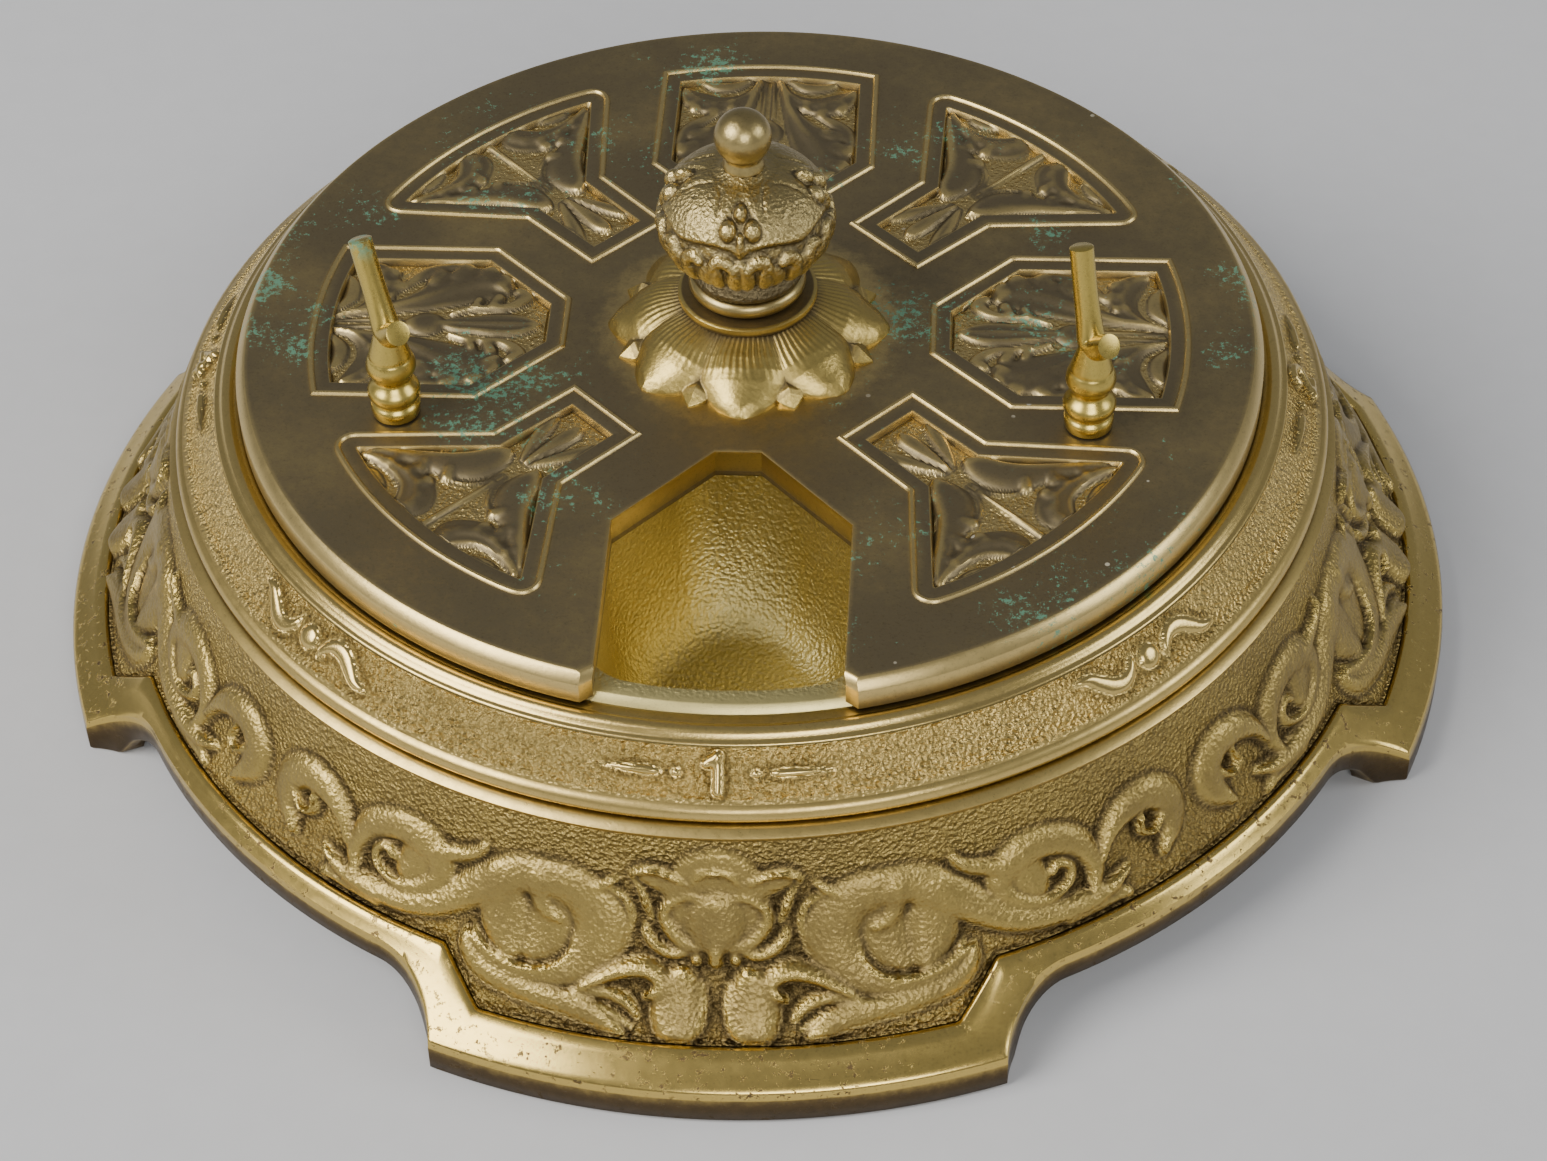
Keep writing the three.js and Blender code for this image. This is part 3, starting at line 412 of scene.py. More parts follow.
def dull_steel():
    f = Finish("dull_steel")
    mottle = f.noise(0.5, 5.0)
    return f.surface(f.blend(mottle, (0.22, 0.21, 0.2), (0.42, 0.41, 0.39)), mottle * 0.3 + 0.35)


def pressed_glass():
    f = Finish("pressed_glass")
    ripple = f.noise(0.12, 2.0)
    return f.surface((0.86, 0.93, 0.89), ripple * 0.06 + 0.04, 0.0, f.bump(ripple, 0.2),
                     **{"Transmission Weight": 1.0, "IOR": 1.5})


steel_finish = dull_steel()
glass_finish = pressed_glass()


# Meshes

class Shape:
    """Points, faces and masks in millimetres, gathered part by part and welded into one closed mesh."""

    def __init__(self):
        self.points, self.faces, self.masks, self.count = [], [], [], 0

    def add(self, points, faces, **masks):
        P = np.asarray(points, float).reshape(-1, 3)
        M = np.zeros((len(P), len(MASKS)))
        for key, value in masks.items():
            M[:, MASKS.index(key)] = np.ravel(value)
        self.points.append(P)
        self.masks.append(M)
        self.faces += [tuple(int(i) + self.count for i in f) for f in faces]
        self.count += len(P)

    def rows(self, grid, closed=False, flip=False, **masks):
        """Closed rows of points joined into quads; `closed` joins the last row to the first."""
        G = np.asarray(grid, float)
        R, C = G.shape[:2]
        i = np.arange(R if closed else R - 1)[:, None]
        j = np.arange(C)[None, :]
        a, b = i * C + j, i * C + (j + 1) % C
        c, d = (i + 1) % R * C + (j + 1) % C, (i + 1) % R * C + j
        quads = np.stack([a, d, c, b] if flip else [a, b, c, d], -1).reshape(-1, 4)
        self.add(G, quads, **masks)

    def fill(self, loop, holes=(), z=None, flip=False, extra=None, carved=None, **masks):
        """A face within a loop, with holes: flat at z, or as `carved` says, with `extra` points inside."""
        loops = [np.asarray(edge)[:, :2] for edge in (loop, *holes)]
        P = np.vstack(loops if extra is None else [*loops, extra])
        edges, start = [], 0
        for edge in loops:
            edges += [(start + k, start + (k + 1) % len(edge)) for k in range(len(edge))]
            start += len(edge)
        out = delaunay_2d_cdt([Vector(p) for p in P], edges, [], 0, 1e-5)
        V = np.array([tuple(v) for v in out[0]])
        T = np.array([f for f in out[2] if len(f) == 3])
        middle = V[T].mean(1)
        keep = inside(middle, loops[0])
        for hole in loops[1:]:
            keep &= ~inside(middle, hole)
        T = T[keep]
        turn = np.cross(V[T[:, 1]] - V[T[:, 0]], V[T[:, 2]] - V[T[:, 0]]) < 0
        T[turn] = T[turn][:, ::-1]
        if flip:
            T = T[:, ::-1]
        if carved:
            z, masks = carved(V)
        self.add(np.c_[V, np.broadcast_to(z, len(V))], T, **masks)

    def piece(self, name, body, finish, replaced, sharp=35):
        """The welded mesh as an object that rides on a body and stands for CAD nodes."""
        P, M = np.vstack(self.points), np.vstack(self.masks)
        keys = np.round(P / 0.002).astype(np.int64)
        first, inverse = np.unique(keys, axis=0, return_index=True, return_inverse=True)[1:]
        inverse = inverse.ravel()
        faces = []
        for f in self.faces:
            g = [int(inverse[i]) for i in f]
            g = [g[k] for k in range(len(g)) if g[k] != g[k - 1]]
            if len(set(g)) == len(g) >= 3:
                faces.append(g)
        mesh = bpy.data.meshes.new(name)
        mesh.from_pydata((P[first] * MM).tolist(), [], faces)
        for k, key in enumerate(MASKS):
            carried = mesh.attributes.new(key, "FLOAT", "POINT")
            carried.data.foreach_set("value", M[first, k].astype(np.float32))
        mesh.validate()
        mesh.shade_smooth()
        mesh.set_sharp_from_angle(angle=math.radians(sharp))
        mesh.materials.append(finish)
        o = bpy.data.objects.new(name, mesh)
        bpy.context.scene.collection.objects.link(o)
        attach(o, body)
        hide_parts(*replaced)


def directions(count):
    return np.arange(count) / count * TAU


def ringed(angle, radius, height):
    """Points at a radius and a height in each direction."""
    return np.stack(np.broadcast_arrays(radius * np.cos(angle), radius * np.sin(angle), height), -1)


def revolved(profile, steps=128):
    """Rows of a turned form from a profile of radius, height."""
    P = np.asarray(profile, float)
    return ringed(directions(steps), P[:, :1], P[:, 1:])


# Stand

def cove_centre():
    """How far from the axis a cove's centre is, and its direction from the foot's middle."""
    away = WAIST_RADIUS + COVE_RADIUS
    spread = math.acos((away**2 + LOBE_RADIUS**2 - COVE_RADIUS**2) / (2 * away * LOBE_RADIUS))
    return away, LOBE_HALF_ANGLE + spread


def folded(angle):
    """The angle from the nearest foot's middle, without its side."""
    return np.abs((angle + QUARTER / 2) % QUARTER - QUARTER / 2)


def stand_edge(angle):
    """Radius of the lobed outline in a direction."""
    a = folded(angle)
    away, middle = cove_centre()
    d = np.clip(middle - a, 0, None)
    root = np.sqrt(np.clip(COVE_RADIUS**2 - (away * np.sin(d)) ** 2, 0, None))
    cove = away * np.cos(d) - root
    return np.where(a <= LOBE_HALF_ANGLE, LOBE_RADIUS, np.where(a < middle, cove, WAIST_RADIUS))


def border_edge(angle):
    """Radius of the line where the scrolled ground meets the smooth border."""
    a = folded(angle)
    px, py = (BORDER_LOBE_RADIUS * f(BORDER_LOBE_HALF_ANGLE) for f in (math.cos, math.sin))
    qx, qy = (BORDER_WAIST_RADIUS * f(BORDER_WAIST_HALF_ANGLE) for f in (math.cos, math.sin))
    nx, ny = qy - py, px - qx
    straight = (nx * px + ny * py) / (nx * np.cos(a) + ny * np.sin(a))
    return np.where(a <= BORDER_LOBE_HALF_ANGLE, BORDER_LOBE_RADIUS,
                    np.where(a < BORDER_WAIST_HALF_ANGLE, straight, BORDER_WAIST_RADIUS))


# The flare's curve: radius, height and length down it
FLARE_T = np.linspace(0, 1.02, 700)
FLARE_R, FLARE_Z = FLARE.T @ ((1 - FLARE_T) ** 2, 2 * FLARE_T * (1 - FLARE_T), FLARE_T**2)
FLARE_S = np.r_[0, np.cumsum(np.hypot(np.diff(FLARE_R), np.diff(FLARE_Z)))]


def on_flare(s, lift):
    """Radius and height at a length s down the flare, lifted off its face."""
    r, z = np.interp(s, FLARE_S, FLARE_R), np.interp(s, FLARE_S, FLARE_Z)
    dr, dz = (np.interp(s + 0.05, FLARE_S, along) - np.interp(s - 0.05, FLARE_S, along)
              for along in (FLARE_R, FLARE_Z))
    n = np.hypot(dr, dz) + 1e-9
    return r - dz / n * lift, z + dr / n * lift


def scrollwork():
    """Half of one foot's scrolls: x is millimetres from the foot's middle, y down the flare."""
    c = Carving((-3, -1), (63, 29))

    def scroll(rows, height, **how):
        rows = [(a * DEGREE, s, w) for a, s, w in rows]
        c.leaf(rows, height, **how)

    # great scroll, with the stem that runs into it
    scroll([(37.0, 14.9, .4), (35.2, 16.0, 1.0), (32.5, 16.5, 1.4), (29, 16.3, 1.7), (25.8, 15.2, 2.0),
            (22.8, 12.8, 2.3), (20.0, 9.8, 2.6), (17.4, 7.9, 2.6), (14.2, 7.5, 2.5), (11.6, 8.6, 2.9),
            (9.9, 11.4, 3.4), (10.0, 14.6, 3.2), (11.4, 17.8, 2.2), (13.9, 19.5, 1.4), (16.8, 19.8, 1.0),
            (19.4, 18.7, .8), (21.1, 17.0, .5)], 1.3, lean=-0.2)
    scroll([(19.2, 8.8, 2.4), (18.6, 12.0, 3.2), (18.3, 14.6, 3.0), (17.6, 17.2, 1.8)], 1.25)
    scroll([(14.6, 9.5, 2.4), (14.3, 12.3, 3.2), (14.8, 15.2, 2.8), (15.6, 17.0, 1.6)], 0.9)
    scroll([(15.6, 7.4, 1.4), (15.4, 9.6, 1.5), (14.7, 11.4, 1.2), (13.4, 12.2, .6)], 1.3)
    scroll([(10.6, 7.4, .6), (9.4, 6.6, .6), (8.6, 5.8, .3)], 1.0)
    scroll([(7.4, 13.0, .25), (7.2, 10.6, .4), (7.9, 8.4, .4), (9.6, 6.9, .35)], 1.2, edge=1.6)
    scroll([(12.0, 13.6, .3), (12.3, 16.2, .45), (13.8, 18.3, .5), (16.6, 19.0, .5), (19.2, 18.0, .45),
            (20.9, 16.2, .3)], 1.6, edge=1.6)
    # second scroll
    scroll([(33.4, 15.4, .9), (33.9, 12.6, 1.4), (32.6, 9.2, 1.9), (30.0, 7.5, 2.1), (27.2, 7.5, 2.2),
            (25.1, 9.2, 2.0), (24.8, 11.4, 1.5), (26.4, 13.6, .9), (28.8, 14.6, .7), (31.0, 13.7, .7),
            (31.6, 11.8, .7), (30.5, 10.6, .7), (29.7, 11.4, .7)], 1.2, lean=-0.2)
    scroll([(27.2, 8.2, 2.2), (27.2, 10.6, 2.8), (28.0, 12.4, 2.0)], 1.0)
    scroll([(25.6, 8.4, 1.2), (23.4, 7.9, 1.2), (21.8, 7.0, .9), (21.0, 5.9, .6), (20.9, 5.0, .2)], 1.1)
    scroll([(36.8, 19.0, .2), (35.6, 17.6, 1.0), (33.2, 17.5, 1.2), (30.4, 18.2, .6)], 0.9, vein=0.3)
    # comma at the waist
    scroll([(34.6, 12.6, .5), (35.6, 9.9, 1.3), (37.8, 7.9, 2.0), (40.6, 7.7, 2.3), (42.5, 9.8, 2.4),
            (42.4, 12.6, 2.1), (41.0, 15.2, .9), (40.5, 16.0, .3)], 1.4, lean=0.2)
    scroll([(39.2, 9.8, .5), (39.0, 11.6, .6), (40.2, 12.4, .6), (41.2, 11.0, .5)], 1.7, edge=1.6)
    # palmette on the foot's middle
    scroll([(0, 4.4, 1.5), (0, 5.4, 4.0), (0, 7.0, 6.0), (0, 8.8, 6.2), (0, 10.2, 4.6)], 0.75, edge=6.0,
           mirror=True)
    scroll([(0, 3.7, .5), (1.3, 4.1, .55), (2.3, 5.5, .4), (3.4, 4.9, .5), (4.8, 4.3, .6), (6.2, 4.2, .6),
            (7.3, 5.0, .4), (7.2, 5.9, .2)], 1.25, edge=2.0, mirror=True)
    scroll([(2.6, 6.6, 1.3), (4.4, 6.0, 1.3), (6.2, 5.3, .8)], 0.75, edge=4.0, mirror=True)
    scroll([(7.0, 5.8, .3), (6.4, 7.4, .45), (6.0, 9.0, .5), (5.4, 10.6, .3)], 1.1, edge=2.0, mirror=True)
    scroll([(0, 8.2, 1.6), (0, 9.6, 3.4), (0, 11.2, 3.4), (0, 13.0, 1.9), (0, 14.0, 1.0)], 1.5, edge=2.2,
           mirror=True)
    scroll([(0, 8.0, .3), (1.6, 7.2, .45), (3.2, 7.6, .5), (4.4, 9.2, .6), (4.2, 11.0, .9), (3.0, 12.9, 1.1),
            (1.6, 13.8, .8)], 1.25, edge=2.0, mirror=True)
    scroll([(6.1, 11.4, .2), (5.7, 12.8, .7), (4.8, 14.0, .9), (3.6, 14.6, .9), (2.6, 14.4, .7)], 1.15,
           mirror=True)
    scroll([(0, 14.6, 1.0), (0, 15.3, 1.0)], 1.45, mirror=True)
    scroll([(1.6, 15.0, .8), (1.65, 15.2, .8)], 1.35, mirror=True)
    # pendants under it, each with the leaf that bends into it
    scroll([(2.7, 16.6, .9), (3.0, 18.2, 2.3), (3.1, 20.6, 3.0), (3.1, 22.8, 2.7), (3.0, 24.8, 1.5),
            (2.9, 25.6, .6)], 1.6, edge=2.3, mirror=True)
    scroll([(1.1, 18.0, .3), (0.9, 20.4, .4), (1.2, 23.0, .45), (2.0, 24.8, .4)], 1.3, edge=1.6, mirror=True)
    scroll([(11.4, 20.2, .3), (9.8, 18.6, .9), (7.8, 17.0, 1.3), (5.8, 16.5, 1.5), (4.4, 17.6, 1.4),
            (4.6, 19.2, 1.0), (5.6, 20.0, .5)], 1.65, lean=-0.3, mirror=True)
    scroll([(12.6, 21.0, .3), (10.6, 20.3, .8), (8.8, 20.1, 1.0), (7.2, 20.9, .9), (6.3, 22.4, .4)], 1.1,
           mirror=True)
    # smooth leaf along the border
    scroll([(21.7, 16.8, .4), (21.3, 18.6, 1.1), (19.6, 20.5, 1.5), (16.0, 21.7, 1.5), (12.2, 22.1, 1.7),
            (9.6, 22.9, 1.6), (8.0, 24.3, 1.1), (7.2, 25.6, .3)], 1.2, lean=0.25)
    scroll([(14.0, 21.0, .25), (11.0, 21.1, .35), (8.6, 21.9, .4), (6.8, 23.6, .3)], 1.4, edge=1.6)
    c.settle()
    return c


def flare_piece():
    columns, down = 1320, 68
    angle = directions(columns)
    a = np.degrees(folded(angle)) * DEGREE
    bottom = np.interp(border_edge(angle), FLARE_R, FLARE_S)
    s = np.linspace(0, 1, down)[:, None] * bottom[None, :]
    carving = scrollwork()
    x = np.broadcast_to(a[None, :], s.shape)
    lift, ridge = carving.read(carving.height, x, s), carving.read(carving.ridge, x, s)
    from_border = bottom[None, :] - s
    # a fine groove along the border
    groove = 0.4 * np.exp(-(((from_border - 0.35) / 0.35) ** 2))
    lift = lift * np.clip(from_border / 0.7, 0, 1) * np.clip(s / 1.0, 0, 1) - groove
    r, z = on_flare(s, lift)
    worn = np.clip((ridge - 0.08) / 0.3, 0, 1) * (lift > 0.25)
    hollow = np.clip(-(ridge + 0.05) / 0.3, 0, 0.75) + groove
    ground = 1 - 0.8 * np.clip(lift / 0.5, 0, 1)
    back = np.linspace(1, 0, 6)[:, None] * bottom[None, :]
    grid = np.concatenate([ringed(angle, r, z), ringed(angle, *on_flare(back, -FLARE_WALL))])
    masks = {"worn": (worn, 0), "hollow": (np.clip(hollow, 0, 1), 0.4), "ground": (ground, 0.6)}
    masks = {key: np.r_[front, np.full(back.shape, behind)] for key, (front, behind) in masks.items()}
    shape = Shape()
    shape.rows(grid, closed=True, flip=True, **masks)
    shape.piece("stand_flare", "stand", stand_finish, ["stand_skirt"], sharp=60)


def under_edge(radius):
    """Height of the border's lower edge: on the table at the feet, up between them."""
    return np.interp(radius, [79.0, 81.2, 83.2, 84.8], [7.2, 6.1, 3.4, 0.0])


def border_piece():
    angle = directions(1440)
    inner, outer = border_edge(angle), stand_edge(angle)
    width = outer - inner
    rows, wear = [], []

    def row(radius, lift, worn, hollow=0.0, height=None):
        """One ring of the border's section, lifted off the flare's curve or at a height of its own."""
        r, z = on_flare(np.interp(radius, FLARE_R, FLARE_S), lift)
        rows.append(ringed(angle, r, z) if height is None else ringed(angle, radius, height))
        wear.append((worn, hollow))

    row(inner + 0.1, -0.6, 0.0, 0.8)
    row(inner + 0.1, 0.1, 0.2, 0.4)
    row(inner + 0.25, 0.5, 0.9)
    row(inner + 0.5, 0.68, 0.9)
    for q in (0.3, 0.45, 0.6, 0.75):
        row(inner + q * width, 0.72, 0.6)
    row(outer - 0.75, 0.7, 0.7)
    row(outer - 0.4, 0.55, 1.0)
    top = on_flare(np.interp(outer, FLARE_R, FLARE_S), 0.15)[1]
    low = under_edge(outer)
    row(outer - 0.12, 0, 1.0, 0, top + 0.12)
    # the outer side darker towards the bottom, and the underside dark
    row(outer, 0, 0.2, 0.5, top - 0.35)
    row(outer, 0, 0.0, 0.75, 0.5 * top + 0.5 * low)
    row(outer, 0, 0.0, 0.85, low + 0.3)
    row(outer - 0.25, 0, 0.1, 0.5, low)
    foot = np.where(outer > (WAIST_RADIUS + LOBE_RADIUS) / 2, 3.0, 1.6)
    row(outer - foot, 0, 0.0, 0.6, low)
    row(np.minimum(outer - foot, inner + 1.2), -2.0, 0.0, 0.8)
    row(inner, -1.8, 0.0, 0.8)
    worn, hollow = np.repeat(np.array(wear).T[..., None], len(angle), 2)
    shape = Shape()
    shape.rows(np.stack(rows), closed=True, flip=True, worn=worn, hollow=hollow)
    shape.piece("stand_border", "stand", border_finish, ["stand_skirt"], sharp=40)


def band_work():
    """Ornament of the band between two cups: x is millimetres from the diagonal, y down the band."""
    c = Carving((-56, -1), (56, 8))
    c.leaf([(0, BAND_MIDDLE, 1.6), (0.02, BAND_MIDDLE, 1.6)], 0.75, edge=3.0)
    for side in (1, -1):
        rows = [(2.2, 4.4, .3), (2.9, 3.0, .7), (4.2, 2.1, 1.0), (5.8, 2.3, 1.1), (7.2, 3.3, 1.0),
                (8.5, 4.3, .75), (10.2, 4.5, .3)]
        c.leaf([(side * x, BAND_MIDDLE + side * (y - BAND_MIDDLE), w) for x, y, w in rows], 0.65, edge=3.0)
    c.settle()
    return c


# Strokes of plain numerals: x is millimetres from the middle, y down the band
NUMERALS = [
    [[(-.8, 2.2), (.1, 1.45)], [(.15, 1.4), (.15, 4.8)]],
    [[(-1.0, 2.3), (-.6, 1.5), (.3, 1.4), (.95, 2.0), (.6, 3.0), (-1.0, 4.7)], [(-1.0, 4.7), (1.1, 4.7)]],
    [[(-1.0, 1.7), (0, 1.35), (.9, 1.9), (.6, 2.7), (-.2, 3.0)],
     [(-.2, 3.0), (.9, 3.4), (1.0, 4.3), (.1, 4.8), (-1.0, 4.4)]],
    [[(.5, 1.4), (-1.2, 3.7)], [(-1.2, 3.75), (1.2, 3.75)], [(.55, 2.4), (.55, 4.8)]]]


def number_work(strokes):
    """A numeral between pairs of studs and dashes, for the band over one cup."""
    c = Carving((-15, -1), (15, 8), 0.1)
    for stroke in strokes:
        c.leaf([(1.35 * x, BAND_MIDDLE + 1.2 * (y - BAND_MIDDLE), .6) for x, y in stroke], 0.9, edge=5.0)
    for rows in ([(4.4, .6), (4.42, .6)], [(6.2, .3), (7.4, .6), (9.4, .5), (13.0, .2)]):
        c.leaf([(x, BAND_MIDDLE, w) for x, w in rows], 0.7, mirror=True)
    c.settle()
    return c


def band_piece():
    angle = directions(1440)
    # the section's radius and height, before and after the sloping face that carries the ornament
    bead = arc((69.75, 32.0), 1.35, math.pi / 2, -math.pi / 2 * 0.9, 9)
    before = [(61.7, 34.4), (61.7, 38.7), (61.9, 38.85), (63.0, 38.85), (63.3, 38.95), (63.6, 39.12),
              (63.95, 39.2), (64.4, 39.1), (64.75, 38.75), (65.0, 38.4), (65.25, 38.25), (65.5, 38.25),
              (65.7, 38.05)]
    after = [*bead[1:], (70.8, 30.75), (71.35, 30.5), (71.85, 30.2), (72.15, 29.95), (72.1, 29.6),
             (71.9, 29.3), (70.6, 28.6), (68.4, 31.5), (65.0, 34.4)]
    start, end = np.array((65.7, 38.05)), np.array((69.75, 33.45))
    length = math.dist(start, end)
    along = (end - start) / length
    share = np.linspace(0, 1, 34)[1:-1]
    face = start + (end - start) * share[:, None]
    grid = revolved([*before, *face, *after], len(angle))
    s = share[:, None] * length + 0 * angle

    def work(carving, x):
        x = np.broadcast_to(x, s.shape)
        return carving.read(carving.height, x, s), carving.read(carving.ridge, x, s)

    lift, ridge = work(band_work(), (angle % QUARTER - QUARTER / 2) * BAND_RADIUS)
    for k, strokes in enumerate(NUMERALS):
        beside = ((angle - FRONT - k * QUARTER + math.pi) % TAU - math.pi) * BAND_RADIUS
        near = np.abs(beside) < 14
        numeral = work(number_work(strokes), beside)
        lift, ridge = (np.where(near, new, old) for new, old in zip(numeral, (lift, ridge)))
    raised = lift - 0.3 * np.clip(np.minimum(s, length - s) / 0.5, 0, 1)
    block = slice(len(before), len(before) + len(face))
    grid[block] += raised[..., None] * ringed(angle, -along[1], along[0])
    worn, hollow, ground = np.zeros((3, *grid.shape[:2]))
    # bright on the lip and the bead; painted shade behind the lip, in the channel under the lid's rim; dark
    # under the bead
    worn[4:12], worn[-14:-8] = 0.6, 0.4
    hollow[:4], hollow[-10:-8] = 0.1, 0.8
    worn[block] = 0.15 + 0.7 * np.clip((lift - 0.1) / 0.25, 0, 1)
    hollow[block] = np.clip(-ridge / 0.14, 0, 0.45)
    ground[block] = 1 - np.clip(lift / 0.3, 0, 1)
    shape = Shape()
    shape.rows(grid, closed=True, flip=True, worn=worn, hollow=hollow, ground=ground)
    shape.piece("stand_band", "stand", band_finish, ["stand_skirt"], sharp=50)


# Cups

def cup_outline():
    side = math.sqrt(CUP_RADIUS**2 - CUP_HALF**2)
    half = [(20.5, 6, CUP_CORNER), (33, CUP_HALF, CUP_CORNER), (side, CUP_HALF, CUP_CORNER)]
    swell = [(x, y, 0) for x, y in arc((0, 0), CUP_RADIUS, -0.122, 0.122, 8)]
    return rounded([*((x, -y, r) for x, y, r in half), *swell, *reversed(half)], 10)


def cup_rows(outline, depth):
    """The cup's wall from its mouth to its dished floor, drawn in and growing rounder like a scoop."""
    middle = np.array((CUP_MIDDLE, 0))
    away = outline - middle
    reach = np.hypot(*away.T)
    way = np.arctan2(away[:, 1], away[:, 0])
    order = np.argsort(way)
    even = np.linspace(-math.pi, math.pi, 180, endpoint=False)
    soft_reach = np.interp(even, way[order], reach[order], period=TAU)
    for _ in range(3):
        soft_reach = np.convolve(np.r_[soft_reach[-12:], soft_reach, soft_reach[:12]], np.ones(25) / 25,
                                 "valid")
    soft = away / reach[:, None] * np.interp(way, even, soft_reach, period=TAU)[:, None]
    rows = []

    def row(plan, draw, drop):
        height = TRAY_TOP - (0.92 * drop + 0.08 * (1 - draw**2)) * depth
        rows.append(level(middle + plan, height))

    for turn in np.linspace(0, math.pi / 2, 24):
        drop = math.sin(turn)
        draw = 1 - 0.46 * (1 - math.cos(turn)) ** 1.25
        share = min(1, drop * 1.15) ** 2
        row((away * (1 - share) + soft * share) * (draw * 0.98 + 0.02, draw), draw, drop)
    for draw in np.linspace(0.5, 0.06, 10):
        row(soft * draw, draw, 1)
    return np.array(rows)


def tray_piece():
    shape = Shape()
    rim = revolved([(TRAY_RADIUS, TRAY_UNDER), (TRAY_RADIUS, 38.5), (61.2, 38.75), (60.7, 39.35),
                    (60.45, TRAY_TOP)], 360)
    hub = revolved([(8.9, TRAY_TOP), (8.9, 38.2), (2.8, 38.2), (2.8, 23.3), (7.5, 23.3), (7.5, TRAY_UNDER)],
                   96)
    shape.rows(rim, worn=0.5)
    shape.rows(hub, hollow=0.7)
    outline = cup_outline()
    lip, edge = level(inset(outline, -0.25), TRAY_TOP), level(outline, TRAY_TOP - 0.25)
    within = np.concatenate([lip[None], edge[None], cup_rows(outline, CUP_DEPTH)[1:]])
    without = cup_rows(inset(outline, -CUP_WALL), CUP_DEPTH + CUP_WALL)
    without = without[without[:, 0, 2] < TRAY_UNDER - 0.2]
    without = np.concatenate([level(without[0, :, :2], TRAY_UNDER)[None], without])
    mouths, under = [], []
    for k in range(4):
        for wall, flip, holes, worn, masks in ((within, False, mouths, 0.15, {"ground": 0.9}),
                                               (without, True, under, 0.0, {"hollow": 0.5})):
            wall = turned(wall, k * QUARTER)
            shape.rows(wall, flip=flip, worn=worn, **masks)
            shape.fill(wall[-1], z=wall[-1, 0, 2], flip=flip, **masks)
            holes.append(wall[0])
    shape.fill(rim[-1], [hub[0], *mouths], z=TRAY_TOP, worn=0.3)
    shape.fill(rim[0], [hub[-1], *under], z=TRAY_UNDER, flip=True, hollow=0.5)
    shape.piece("cup_tray", "stand", cup_finish, ["cell_tray"])


# Lid

def lid_loop(radius, grow):
    """The lid's plan at a rim radius, with the window at the front made larger by `grow`."""
    half, facet = WINDOW_HALF + grow, 1.4
    side = math.sqrt(radius**2 - half**2)
    corner = math.asin((half + facet) / radius)
    shoulder, apex = WINDOW_SHOULDER - grow / 2, WINDOW_APEX - grow
    window = np.array([(side - facet, -half), (shoulder, -half), (apex, -WINDOW_APEX_HALF),
                       (apex, WINDOW_APEX_HALF), (shoulder, half), (side - facet, half)])
    sides = zip(window, window[1:], (24, 18, 6, 18, 24))
    cuts = [a + (b - a) * (np.arange(n) / n)[:, None] for a, b, n in sides]
    return turned(np.vstack([arc((0, 0), radius, corner, TAU - corner, 720), *cuts, window[-1:]]), FRONT)


def shield_outline(distance):
    """Outline of a shield panel, moved inwards, with the same points at every distance."""
    plan = [(22.5, 4.45), (22.5, -4.45), (32.1, -13.95), (52, -13.95), (52, 13.95), (32.1, 13.95)]
    corners = inset(np.array(plan), distance)
    rim = 53.35 - distance
    spread = math.asin((13.95 - distance) / rim)
    return divided(np.vstack([corners[:3], arc((0, 0), rim, -spread, spread, 40), corners[5:]]),
                   (16, 24, 38, *[1] * 40, 38, 24))


def bell_outline(distance):
    """Outline of a bell panel, moved inwards, with the same points at every distance."""
    rim = 53 - distance
    waist = np.array((35.05, -6.05))
    low = np.array((53 * math.cos(math.asin(19.15 / 53)), -19.15))
    plan = [(22.85, 5.8), (22.85, -5.8), waist, low, low * (1, -1), waist * (1, -1)]
    corners = inset(np.array(plan), distance)
    along = (low - waist) / np.hypot(*(low - waist))
    start = corners[2]
    reach = -start @ along + math.sqrt((start @ along) ** 2 + rim**2 - start @ start)
    corner = start + along * reach
    spread = math.asin(-corner[1] / rim)
    points = arc((0, 0), rim, -spread * 0.76, spread * 0.76, 38)
    radius = max(2.0 - distance, 0.3)
    rows = [(*p, 0) for p in corners[:3]] + [(*corner, radius)] + [(*p, 0) for p in points]
    rows += [(corner[0], -corner[1], radius), (*corners[5], 0)]
    return divided(rounded(rows, 6), (20, 22, 40, *[1] * 6, 3, *[1] * 38, 3, *[1] * 6, 40, 22))


